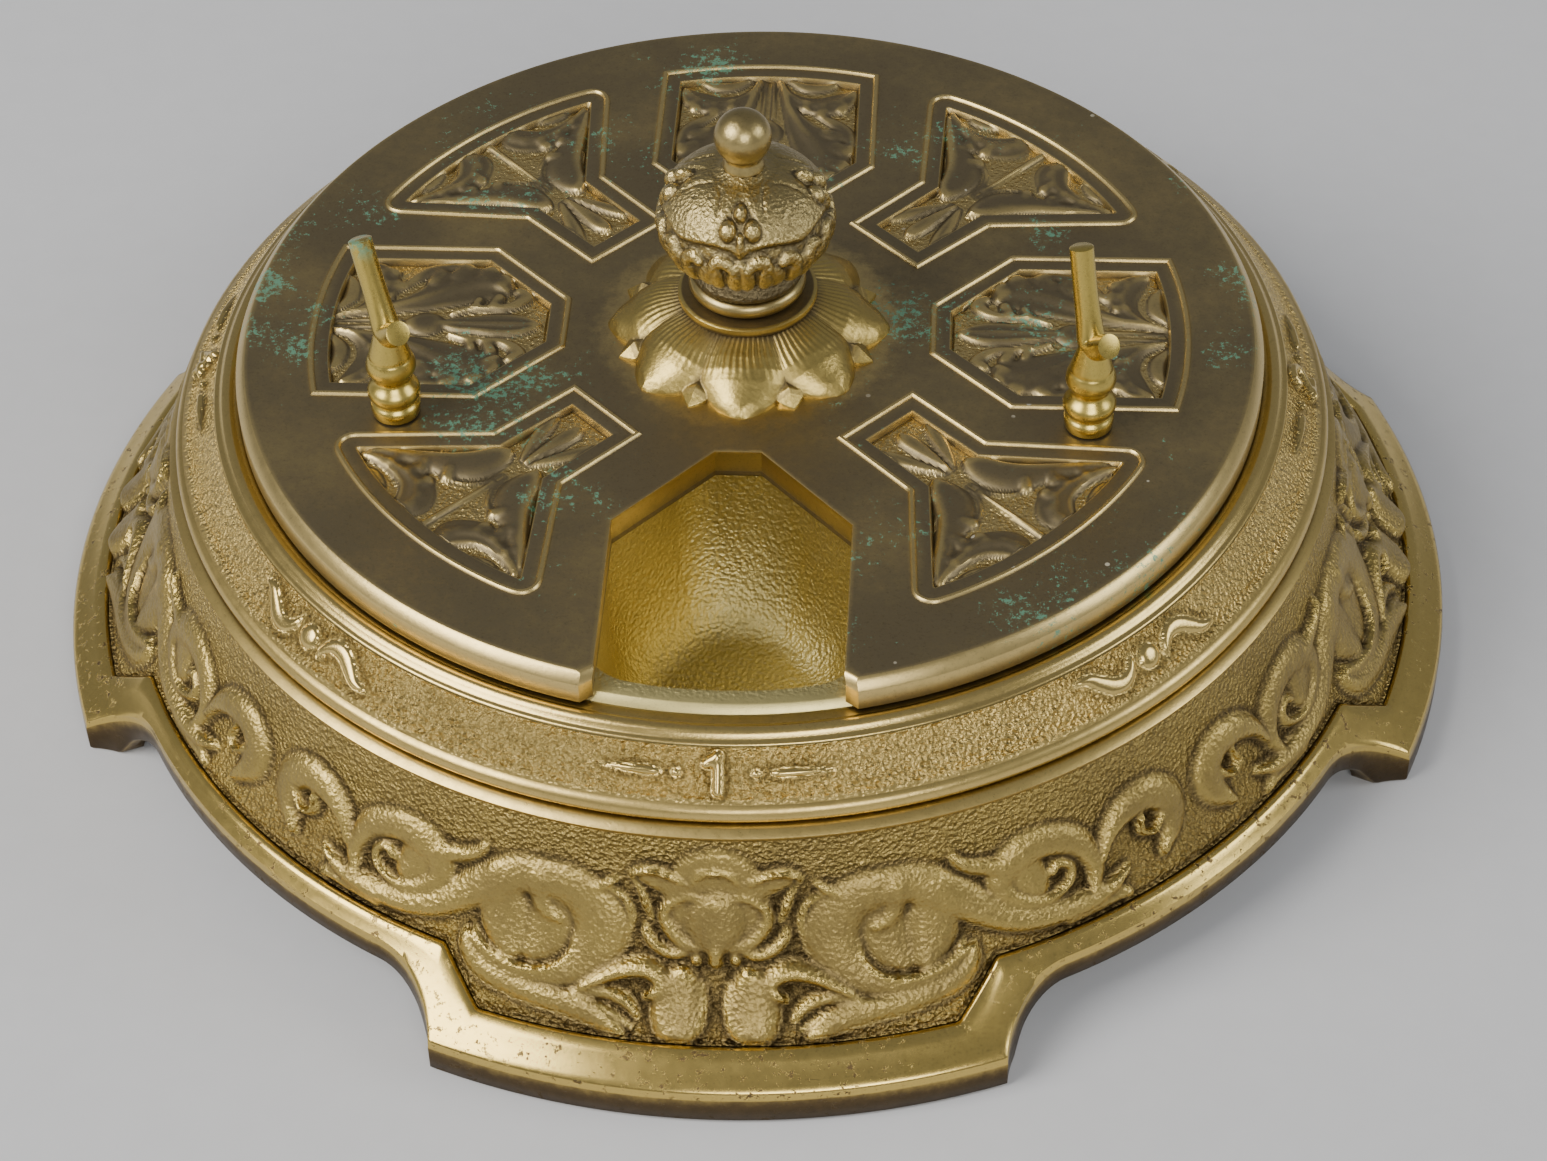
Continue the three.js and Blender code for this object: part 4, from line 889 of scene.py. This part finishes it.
def shield_work():
    """Carving of a shield panel: x across, y outward from the lid's axis."""
    c = Carving((-15, 22), (15, 54))
    both = {"mirror": True}
    # pointed leaf over the middle, and its calyx
    c.leaf([(0, 25.3, .15), (0, 26.8, 1.2), (0, 28.8, 2.2), (0, 31, 2.3), (0, 33.4, 1.8), (0, 35.6, 1.5),
            (0, 37, 1.0)], 1.0, ribs=3, edge=3.0)
    # hooks beside it
    c.leaf([(2.0, 36.6, .5), (2.9, 34.4, .6), (3.1, 32.2, .6), (3.3, 30.2, .8), (4.2, 28.6, 1.0),
            (5.6, 27.9, 1.2), (6.4, 28.8, .8)], 1.0, **both)
    # broad side leaves that sweep up from the foot
    c.leaf([(1.6, 50.4, .4), (2.2, 47.0, .7), (3.2, 43.6, 1.2), (4.6, 40.4, 2.1), (6.4, 37.4, 3.2),
            (7.6, 34.6, 3.5), (7.6, 32.2, 2.6), (6.6, 30.8, 1.2)], 1.1, ribs=2, edge=3.0, lean=0.15, **both)
    c.leaf([(6.2, 43.6, .3), (8.2, 42.4, .9), (10.2, 40.2, 1.2), (11.1, 37.4, .9), (11.2, 35.6, .3)], 0.75,
           **both)
    c.leaf([(0, 38.2, 1.0), (0, 39.7, 2.3), (0, 41.4, 1.2)], 0.95)
    for x, y, w in [(9.2, 38.9, 1.3), (10.3, 35.9, 1.5), (10.2, 32.6, 1.3), (8.6, 30.6, 1.1), (5.0, 31.2, .9),
                    (4.4, 33.6, .7)]:
        c.leaf([(x - 1.2, y + .5, w), (x, y, w)], 1.0, edge=3.0, **both)
    # stems and the crescent leaves at the foot
    c.leaf([(0.45, 51.5, .3), (0.6, 47.5, .4), (0.7, 43, .45)], 0.7, **both)
    c.leaf([(1.2, 51.2, .4), (2.3, 48.4, .8), (4.2, 46.4, 1.4), (6.8, 45.6, 2.0), (9.2, 46.4, 2.0),
            (10.6, 47.8, 1.2), (11.2, 48.8, .4)], 1.0, edge=3.0, lean=-0.25, ribs=2, **both)
    c.leaf([(2.6, 51.0, .5), (4.8, 49.6, 1.1), (7.2, 49.6, 1.0), (9.0, 50.4, .4)], 0.8, **both)
    for x, y, w in [(4.9, 44.9, .8), (7.2, 43.9, 1.0), (9.6, 44.8, 1.0)]:
        c.leaf([(x, y + .9, w), (x, y, w)], 0.9, edge=3.0, **both)
    c.settle()
    return c


def bell_work():
    """Carving of a bell panel, the same way round."""
    c = Carving((-18, 22), (18, 54))
    both = {"mirror": True}
    # three petals in the neck
    c.leaf([(0, 26.6, .4), (0, 28.2, 1.3), (0, 31.2, 1.1), (0, 35.3, .35)], 1.0, edge=3.0)
    c.leaf([(3.6, 27.4, .4), (3.2, 29.2, 1.1), (2.2, 31.8, 1.0), (.7, 35.4, .3)], 0.95, vein=0.2, **both)
    # leaves that spread from the waist into the corners
    c.leaf([(2.4, 35.4, .5), (2.9, 37.2, 1.9), (3.6, 39.6, 2.5), (5.4, 41.6, 2.2), (8.2, 43.4, 1.5),
            (11.2, 45.4, 1.0), (14.4, 47.6, .3)], 1.1, edge=3.0, lean=-0.25, **both)
    c.leaf([(0.3, 38.2, .3), (.9, 41, .35), (2.9, 43.2, .4), (7.4, 44.0, .3)], 0.7, **both)
    for x, y, w in [(4.4, 43.5, .9), (7.3, 44.9, .8)]:
        c.leaf([(x + .6, y - .9, w), (x, y, w)], 0.95, edge=3.0, **both)
    c.leaf([(0, 40.0, .35), (0, 46, .5), (0, 51.8, .7)], 0.8)
    # curled leaves along the rim
    c.leaf([(15.0, 48.8, .2), (12.2, 47.2, 1.0), (9, 46.6, 1.5), (6.0, 46.9, 2.1), (3.9, 48.6, 2.4),
            (3.6, 50.0, 1.9)], 1.1, edge=3.0, lean=-0.3, ribs=2, **both)
    c.leaf([(13.6, 49.9, .3), (11.0, 49.4, .8), (9.0, 50.0, .9), (7.4, 50.9, .5)], 0.75, **both)
    for x, y, w in [(5.4, 45.6, .9), (8.0, 45.2, .9), (10.8, 46.0, .7)]:
        c.leaf([(x, y + .9, w), (x, y, w)], 0.95, edge=3.0, **both)
    c.settle()
    return c


def panel(shape, outline, carving, way):
    """A panel's raised outline, strip, wall and carved field. Gives the hole it takes in the lid's top."""
    # inwards, up, worn
    steps = [(-0.75, 0.0, 0.0), (-0.42, 0.0, 0.1), (-0.34, 0.16, 0.4), (-0.16, 0.32, 0.6), (0.16, 0.32, 0.6),
             (0.34, 0.16, 0.4), (0.42, 0.0, 0.1), (0.62, 0.0, 0.0), (1.9, 0.0, 0.0), (2.1, -0.06, 0.5),
             (2.22, -0.3, 0.3), (2.35, -FIELD_DEPTH, 0.2)]
    loops = np.array([level(outline(d), LID_TOP + z) for d, z, _ in steps])
    floor = loops[-1]
    floor[:, 2] += FIELD_LIFT * carving.read(carving.height, floor[:, 1], floor[:, 0])
    worn = np.repeat([[w] for *_, w in steps], loops.shape[1], 1)
    hollow = np.zeros_like(worn)
    # dark before the field's wall and at its foot
    hollow[[8, -1]] = 0.3
    shape.rows(turned(loops, way), worn=worn, hollow=hollow)
    (x0, y0), (x1, y1) = floor.min(0)[:2], floor.max(0)[:2]
    X, Y = np.meshgrid(np.arange(x0, x1, 0.25), np.arange(y0, y1, 0.25), indexing="ij")
    points = np.c_[X.ravel(), Y.ravel()]
    points = points[inside(points, outline(2.5))]

    def field(V):
        x, y = turned(V, -way).T
        lift, ridge = carving.read(carving.height, y, x), carving.read(carving.ridge, y, x)
        raised = np.clip(lift / 0.3, 0, 1)
        masks = {"worn": np.clip((ridge - 0.03) / 0.2, 0, 1) * 0.7 * raised + (1 - raised),
                 "hollow": (0.2 + np.clip(-ridge / 0.2, 0, 1) * 0.4) * raised, "ground": 0.5 * (1 - raised)}
        return LID_TOP - FIELD_DEPTH + lift * FIELD_LIFT, masks

    shape.fill(turned(floor, way), extra=turned(points, way), carved=field)
    return turned(loops[0], way)


def lid_piece():
    shape = Shape()
    shield_carving, bell_carving = shield_work(), bell_work()
    holes = []
    for k in range(4):
        holes.append(panel(shape, bell_outline, bell_carving, (k + 0.5) * QUARTER))
        if k < 3:
            holes.append(panel(shape, shield_outline, shield_carving, k * QUARTER))
    # radius, how far the window draws in, height, worn
    steps = [(60.9, 0.45, LID_TOP, 0), (61.35, 0.0, LID_TOP, 0.2), (61.45, -0.12, LID_TOP - 0.04, 0.7),
             (61.75, -0.18, LID_TOP - 0.3, 1.0), (62.5, 0.0, LID_TOP - 1.15, 0.9),
             (LID_RADIUS, 0.02, LID_TOP - 1.4, 0.6), (LID_RADIUS, 0.0, 39.2, 0.1), (62.4, 0.0, 39.1, 0),
             (61.5, 0.0, 39.1, 0), (61.5, 0.0, LID_UNDER, 0)]
    loops = np.array([level(lid_loop(radius, grow), z) for radius, grow, z, _ in steps])
    worn = np.repeat([[w] for *_, w in steps], loops.shape[1], 1)
    shape.rows(loops, flip=True, worn=worn)
    bore = revolved([(7.6, LID_UNDER), (7.6, LID_TOP)], 96)
    shape.rows(bore)
    shape.fill(loops[0], [bore[1], *holes], z=LID_TOP)
    shape.fill(loops[-1], [bore[0]], z=LID_UNDER, flip=True)
    shape.piece("lid_cover", "lid", lid_finish, ["lid_plate"], sharp=30)


def rosette_piece():
    """Eight great petals over eight small pointed ones, with the seat for the knob's ring."""
    rows = 58
    angle = directions(960)
    eighth = TAU / 8
    f = (angle + eighth / 2) % eighth - eighth / 2
    off = eighth / 2 - np.abs(f)
    # each petal's outline, as a radius over the angle from its middle
    great_edge = np.interp(np.abs(f), (0, .05, .083, .174, .28, .37, .393),
                           (ROSETTE_OUT, 17.05, 16.8, 16.1, 15.0, 13.8, 13.2))
    small_edge = np.interp(off, (0, .04, .095, .15, .21, .3), (16.6, 16.1, 15.3, 14.2, 12.0, 9.0))
    edge = np.maximum(great_edge, small_edge)
    r = ROSETTE_IN + (edge - ROSETTE_IN) * np.linspace(0, 1, rows)[:, None]
    # along a great petal: half its width, its height and how far its sides fall
    width = np.interp(r, (ROSETTE_IN, 11, 12.5, 13.8, 15.0, 16.1, 16.8, ROSETTE_OUT),
                      (3.4, 4.55, 5.1, 5.1, 4.2, 2.8, 1.4, 0.15))
    across = np.abs(f * r)
    q = np.clip(across / width, 0, 1)
    swell = np.interp(r, (ROSETTE_IN, 9.5, 11, 12.5, 13.8, 15, 16, ROSETTE_OUT),
                      (5.2, 4.9, 4.5, 3.95, 3.15, 2.2, 1.45, 0.5))
    drop = np.interp(r, (ROSETTE_IN, 10, 13, 15, ROSETTE_OUT), (0.25, 0.6, 1.35, 1.6, 0.6))
    striae = 0.05 * np.cos(f * 92 + 0.6 * np.sin(1.3 * r)) * np.clip((13.9 - r) / 2.5, 0, 1) * (q < 0.9)
    facet = 0.22 + (ROSETTE_OUT - r) * 1.3 - across * 0.4
    great = np.minimum(swell - drop * q**2.4 + striae, facet)
    great = np.where(across < width * 1.02, great, 0)
    small = np.minimum(0.2 + (16.6 - r) * 0.85, 1.9) - np.abs(off * r) * 0.55
    ground = np.interp(r, (ROSETTE_IN, 11, 13.5, 15.5), (4.7, 3.0, 1.3, 0.1))
    height = np.maximum.reduce([great, small, ground])
    seat = [(12, -.4), (7.4, -.4), (7.4, -3.1), (2.85, -3.1), (2.85, 6.35), (7.9, 6.35), (ROSETTE_IN, 6.3),
            (8.4, 6.15), (8.45, 5.9), (8.45, 5.4), (8.35, 5.2)]
    foot = ringed(angle, edge + 0.05, np.array([[0.0], [-0.2]]))
    grid = np.concatenate([ringed(angle, r, height), foot, revolved(seat, len(angle))])
    grid[..., 2] += LID_TOP
    worn, hollow = np.zeros((2, *grid.shape[:2]))
    crest = np.clip((great - np.maximum(small, ground)) / 0.6, 0, 1)
    worn[:rows] = np.clip((r - ROSETTE_IN) / 7, 0.15, 0.9) * np.maximum(crest * (1 - q**4), 0.6 * (r > 15.2))
    hollow[:rows] = (1 - crest) * 0.4 * (r < 14.2) + 0.5 * np.clip((9.4 - r) / 1.2, 0, 1)
    # the ring's seat, bright only on its rim
    hollow[rows + 6:rows + 8] = worn[rows + 8:rows + 11] = hollow[rows + 11:] = 0.6
    shape = Shape()
    shape.rows(grid, closed=True, flip=True, worn=worn, hollow=hollow, ground=0.1)
    shape.piece("lid_rosette", "lid", rosette_finish, ["lid_plate"], sharp=40)


# Knob

def bulb_work():
    """Carving of an eighth of the knob: x is millimetres from a face's middle, y down from the crown."""
    c = Carving((-1, -1), (9, 22), 0.1)

    def carve(rows, height, **how):
        c.leaf([(KNOB_DEGREE * a, s, w) for a, s, w in rows], height, mirror=True, **how)

    # hoods that end in a ledge, a cleft between them with a three-lobed drop
    x, y = np.abs(c.X), c.Y
    ledge = np.interp(x, (0, .5, 1.2, 3, 5, 8.1), (10.7, 10.1, 9.5, 9.2, 9.3, 9.9))
    cleft = np.interp(y, (2, 3.5, 5.5, 7.5, 9, 10.2), (0, .8, 1.9, 2.4, 1.6, .3))
    hood = 0.85 * np.clip((y - 1.5) / 7.5, 0, 1) ** 0.7 * np.clip((ledge - y) / 0.4, 0, 1)
    hood *= 1 - 0.55 * np.clip(1 - (x - cleft) / 1.3, 0, 1) ** 2
    from_boss = np.hypot(x - 8.1, y - 6.2)
    fold = np.clip((6.6 - y) / 2.0, 0, 1) * (y > 2.0)
    hood -= 0.2 * np.exp(-(((from_boss - 4.4) / 0.35) ** 2)) * fold
    carve([(0, 4.9, 1.15), (0, 5.0, 1.15)], 1.2)
    carve([(9.5, 7.0, 1.3), (9.6, 7.1, 1.3)], 1.35)
    carve([(0, 7.8, .6), (0, 8.8, .5), (0, 9.8, .3)], 0.8)
    # curls round the middle, and lobes that run down to the neck
    carve([(5, 12.0, .5), (9, 11.2, .8), (15, 11.0, .9), (19, 11.8, .7)], 0.75)
    carve([(29, 11.6, .6), (34, 11.2, .9), (39, 11.8, .8), (40, 12.8, .5)], 0.75)
    carve([(0, 11.6, 1.0), (0, 13.4, 1.8), (0, 16.0, 1.7), (0, 18.2, 1.0)], 0.65, edge=3.0, vein=0.3)
    for a in (22.5, 45):
        carve([(a - 5, 12.2, .8), (a - 1, 13.6, 1.8), (a, 16.0, 1.75), (0.98 * a, 18.2, 1.1)], 0.62, edge=3.0,
              lean=0.3, vein=0.3)
    c.height = np.maximum(c.height, hood)
    c.settle()
    return c


def knob_ring():
    shape = Shape()
    curve = arc((6.0, 50.6), 1.1, -math.pi / 2, math.pi / 2, 14)
    shape.rows(revolved([(2.8, 49.5), *curve, (2.8, 51.7)]), closed=True, worn=0.35, hollow=0.1)
    shape.piece("knob_ring", "lid", knob_finish, ["knob_collar"], sharp=50)


def knob_bulb():
    rows = 124
    angle = directions(600)
    outline = spline([(2.4, 67.6), (3.2, 67.35), (4.8, 66.9), (6.5, 66.1), (8.0, 64.9), (9.2, 63.2),
                      (9.9, 61.4), (10.15, 59.8), (10.0, 58.4), (9.4, 57.1), (8.4, 56.1), (7.2, 55.5),
                      (6.3, 55.2)])
    length = np.r_[0, np.cumsum(np.hypot(*np.diff(outline, axis=0).T))]
    down = np.linspace(0, length[-1], rows)
    section = np.c_[np.interp(down, length, outline[:, 0]), np.interp(down, length, outline[:, 1])]
    lean = np.gradient(section, axis=0)
    lean /= np.hypot(*lean.T)[:, None]
    carving = bulb_work()
    x = np.broadcast_to(np.degrees(folded(angle)) * KNOB_DEGREE, (rows, len(angle)))
    y = np.broadcast_to(down[:, None], x.shape)
    lift, ridge = carving.read(carving.height, x, y), carving.read(carving.ridge, x, y)
    lift = (lift - 0.15) * np.clip(np.minimum(down, length[-1] - down), 0, 1)[:, None]
    body = ringed(angle, section[:, :1] - lean[:, 1:] * lift, section[:, 1:] + lean[:, :1] * lift)
    neck = [(6.1, 54.9), (6.0, 54.5), (6.1, 53.9), (6.45, 53.3), (6.8, 52.8), (6.9, 52.4), (6.75, 52.05),
            (1.8, 52.05)]
    grid = np.concatenate([revolved([(1.8, 67.6)], len(angle)), body, revolved(neck, len(angle))])
    worn, hollow = np.zeros((2, *grid.shape[:2]))
    worn[1:rows + 1] = np.clip(ridge / 0.2, 0, 1) * 0.55 + 0.1
    hollow[1:rows + 1] = np.clip(-(ridge + 0.03) / 0.22, 0, 0.5)
    hollow[rows + 1:] = 0.6
    shape = Shape()
    shape.rows(grid, closed=True, flip=True, worn=worn, hollow=hollow, ground=0.6)
    shape.piece("knob_foliate_bulb", "lid", knob_finish, ["knob_bulb"], sharp=60)


def knob_ball():
    shape = Shape()
    ball = arc((0, 71.75), 3.4, -math.asin(0.78), math.pi / 2, 40)
    ball[-1, 0] = 0.02
    profile = [(1.8, 67.65), (2.5, 67.65), (2.45, 68.1), (2.2, 68.6), *ball, (0.02, 70.0), (1.8, 69.0)]
    shape.rows(revolved(profile, 96), closed=True, worn=0.25, hollow=0.1, ground=0.08)
    shape.piece("knob_ball", "lid", knob_finish, ["knob_finial"], sharp=60)


# Pen rests

# Turned post: radius and height as shares of its widest radius and its height
POST_ROWS = [(.89, 0), (.93, .05), (.93, .11), (.80, .165), (.90, .2), (1, .26), (.96, .32), (.76, .39),
             (.68, .43), (.72, .47), (.86, .52), (.94, .575), (.93, .63), (.86, .69), (.80, .72), (.78, .75),
             (.70, .82), (.60, .91), (.50, 1)]
# Bent rods: x, y, height over the post, radius. The left one leans out more.
ROD_FOOT = [(1.8, -2.4, 1.9, 1.45), (1.3, -1.7, 1.3, 1.45), (0.5, -0.6, 0.2, 1.6), (-0.1, 0.5, 0.3, 1.7)]
RODS = {"left": [(-0.7, 1.4, 2.4, 1.55), (-1.3, 2.2, 4.8, 1.45),
                 (-2.0, 3.1, 7.6, 1.42), (-2.7, 4.1, 10.6, 1.42)],
        "right": [(-0.5, 1.4, 2.4, 1.55), (-0.9, 2.2, 5.0, 1.45),
                  (-1.3, 3.1, 8.0, 1.42), (-1.7, 4.1, 11.3, 1.42)]}


def rod(path, radius, sides=32):
    """Rows of a round rod along a path, with slightly rounded ends closed at their middles."""
    along = np.gradient(path, axis=0)
    along /= np.linalg.norm(along, axis=1)[:, None]
    side = np.cross(along, (0.3, 1, 0.2))
    side /= np.linalg.norm(side, axis=1)[:, None]
    up = np.cross(side, along)
    t = directions(sides)[:, None]
    rows = path[:, None] + radius[:, None, None] * (side[:, None] * np.cos(t) + up[:, None] * np.sin(t))
    ends = [rows[k] * 0.88 + path[k] * 0.12 for k in (0, -1)]
    rows[0] += (path[1] - path[0]) * 0.3
    rows[-1] += (path[-2] - path[-1]) * 0.3
    middles = np.broadcast_to(path[[0, -1], None], (2, sides, 3))
    return np.concatenate([middles[:1], [ends[0]], rows, [ends[1]], middles[1:]])


def pen_rest(side, word, rod_finish):
    at = np.array((side * REST_AWAY, REST_FORWARD, 0))
    low = LID_TOP + 0.3
    profile = [(3.15 * r, low + POST_TALL * h) for r, h in spline(POST_ROWS, 4)]
    profile = [(0.05, REST_FOOT), (1.5, REST_FOOT), (1.5, low), *profile, (0.05, low + POST_TALL)]
    rows = revolved(profile, 64) + at
    shape = Shape()
    shape.rows(rows, worn=0.7)
    shape.fill(rows[0], z=REST_FOOT, flip=True)
    shape.fill(rows[-1], z=low + POST_TALL)
    shape.piece("pen_rest_post_" + word, "lid", bright_finish, ["rest_post_" + word],
                sharp=50)

    knots = spline(ROD_FOOT + RODS[word], 8)
    shape = Shape()
    shape.rows(rod(knots[:, :3] + at + (0, 0, low + POST_TALL), knots[:, 3]), worn=0.8)
    shape.piece("pen_rest_fork_" + word, "lid", rod_finish, ["rest_fork_" + word], sharp=50)


# Making

for make in (flare_piece, border_piece, band_piece, tray_piece, lid_piece, rosette_piece, knob_ring,
             knob_bulb, knob_ball):
    make()
pen_rest(-1, "left", tip_finish)
pen_rest(1, "right", bright_finish)

CARRIED_OVER = {"ink_glass": glass_finish, "lid_washer": bright_finish, "spindle_nut": bright_finish,
                "lid_spindle": steel_finish, "spindle_washer": steel_finish, "spring_washer": steel_finish,
                **{f"tray_screw_{k}": steel_finish for k in range(1, 5)}}
for node, material in CARRIED_OVER.items():
    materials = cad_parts[node].data.materials
    materials.clear()
    materials.append(material)


# Floor, light and camera

def softbox(name, place, size, power, colour):
    """A soft light at a place, turned to the inkstand."""
    light = bpy.data.lights.new(name, "AREA")
    light.shape, light.size, light.size_y = "RECTANGLE", *size
    light.energy, light.color = power, colour
    o = bpy.data.objects.new(name, light)
    o.location = place
    o.rotation_euler = (Vector((0, 0, 0.03)) - Vector(place)).to_track_quat("-Z", "Y").to_euler()
    bpy.context.scene.collection.objects.link(o)


def floor_and_light():
    f = Finish("pale_table")
    grain = f.noise(0.2, 4.0)
    mesh = bpy.data.meshes.new("table_top")
    half, under = 3.0, -0.0002
    corners = [(-half, -half, under), (half, -half, under), (half, half, under), (-half, half, under)]
    mesh.from_pydata(corners, [], [(0, 1, 2, 3)])
    mesh.materials.append(f.surface(f.blend(grain, (0.60, 0.60, 0.60), (0.64, 0.64, 0.64)), 0.8, 0.0))
    floor = bpy.data.objects.new("table_top", mesh)
    bpy.context.scene.collection.objects.link(floor)

    softbox("window_light", (-0.85, -0.45, 0.85), (0.8, 0.8), 17, (1.0, 0.98, 0.95))
    softbox("front_light", (0.25, -1.2, 0.75), (0.7, 0.5), 7.5, (1.0, 0.99, 0.97))
    softbox("right_fill", (1.1, -0.1, 0.6), (0.6, 0.5), 4, (0.96, 0.98, 1.0))
    world = bpy.data.worlds.new("studio")
    bpy.context.scene.world = world
    world.use_nodes = True
    colour, strength = world.node_tree.nodes["Background"].inputs[:2]
    colour.default_value = (0.86, 0.90, 1.0, 1)
    strength.default_value = 0.28


def photo_camera():
    """The camera fitted to the photograph, placed in millimetres from the middle of the lid's top."""
    tilt, turn, roll = 0.768952, -0.0709076, 0.0276006
    aside, below, back = 2.144, 31.14, 436.24
    right0 = Vector((math.cos(turn), -math.sin(turn), 0))
    up0 = Vector((math.sin(tilt) * math.sin(turn), math.sin(tilt) * math.cos(turn), math.cos(tilt)))
    ahead = Vector((math.cos(tilt) * math.sin(turn), math.cos(tilt) * math.cos(turn), -math.sin(tilt)))
    place = right0 * aside - up0 * below - ahead * back + Vector((0, 0, LID_TOP))
    c, s = math.cos(roll), math.sin(roll)
    right, up = right0 * c - up0 * s, right0 * s + up0 * c
    data = bpy.data.cameras.new("photo_camera")
    data.sensor_width, data.lens = 36, 83.18
    data.clip_start, data.clip_end = 0.01, 20
    camera = bpy.data.objects.new("photo_camera", data)
    basis = Matrix((right, up, -ahead)).transposed().to_4x4()
    camera.matrix_world = Matrix.Translation(place * MM) @ basis
    bpy.context.scene.collection.objects.link(camera)
    bpy.context.scene.camera = camera


floor_and_light()
photo_camera()
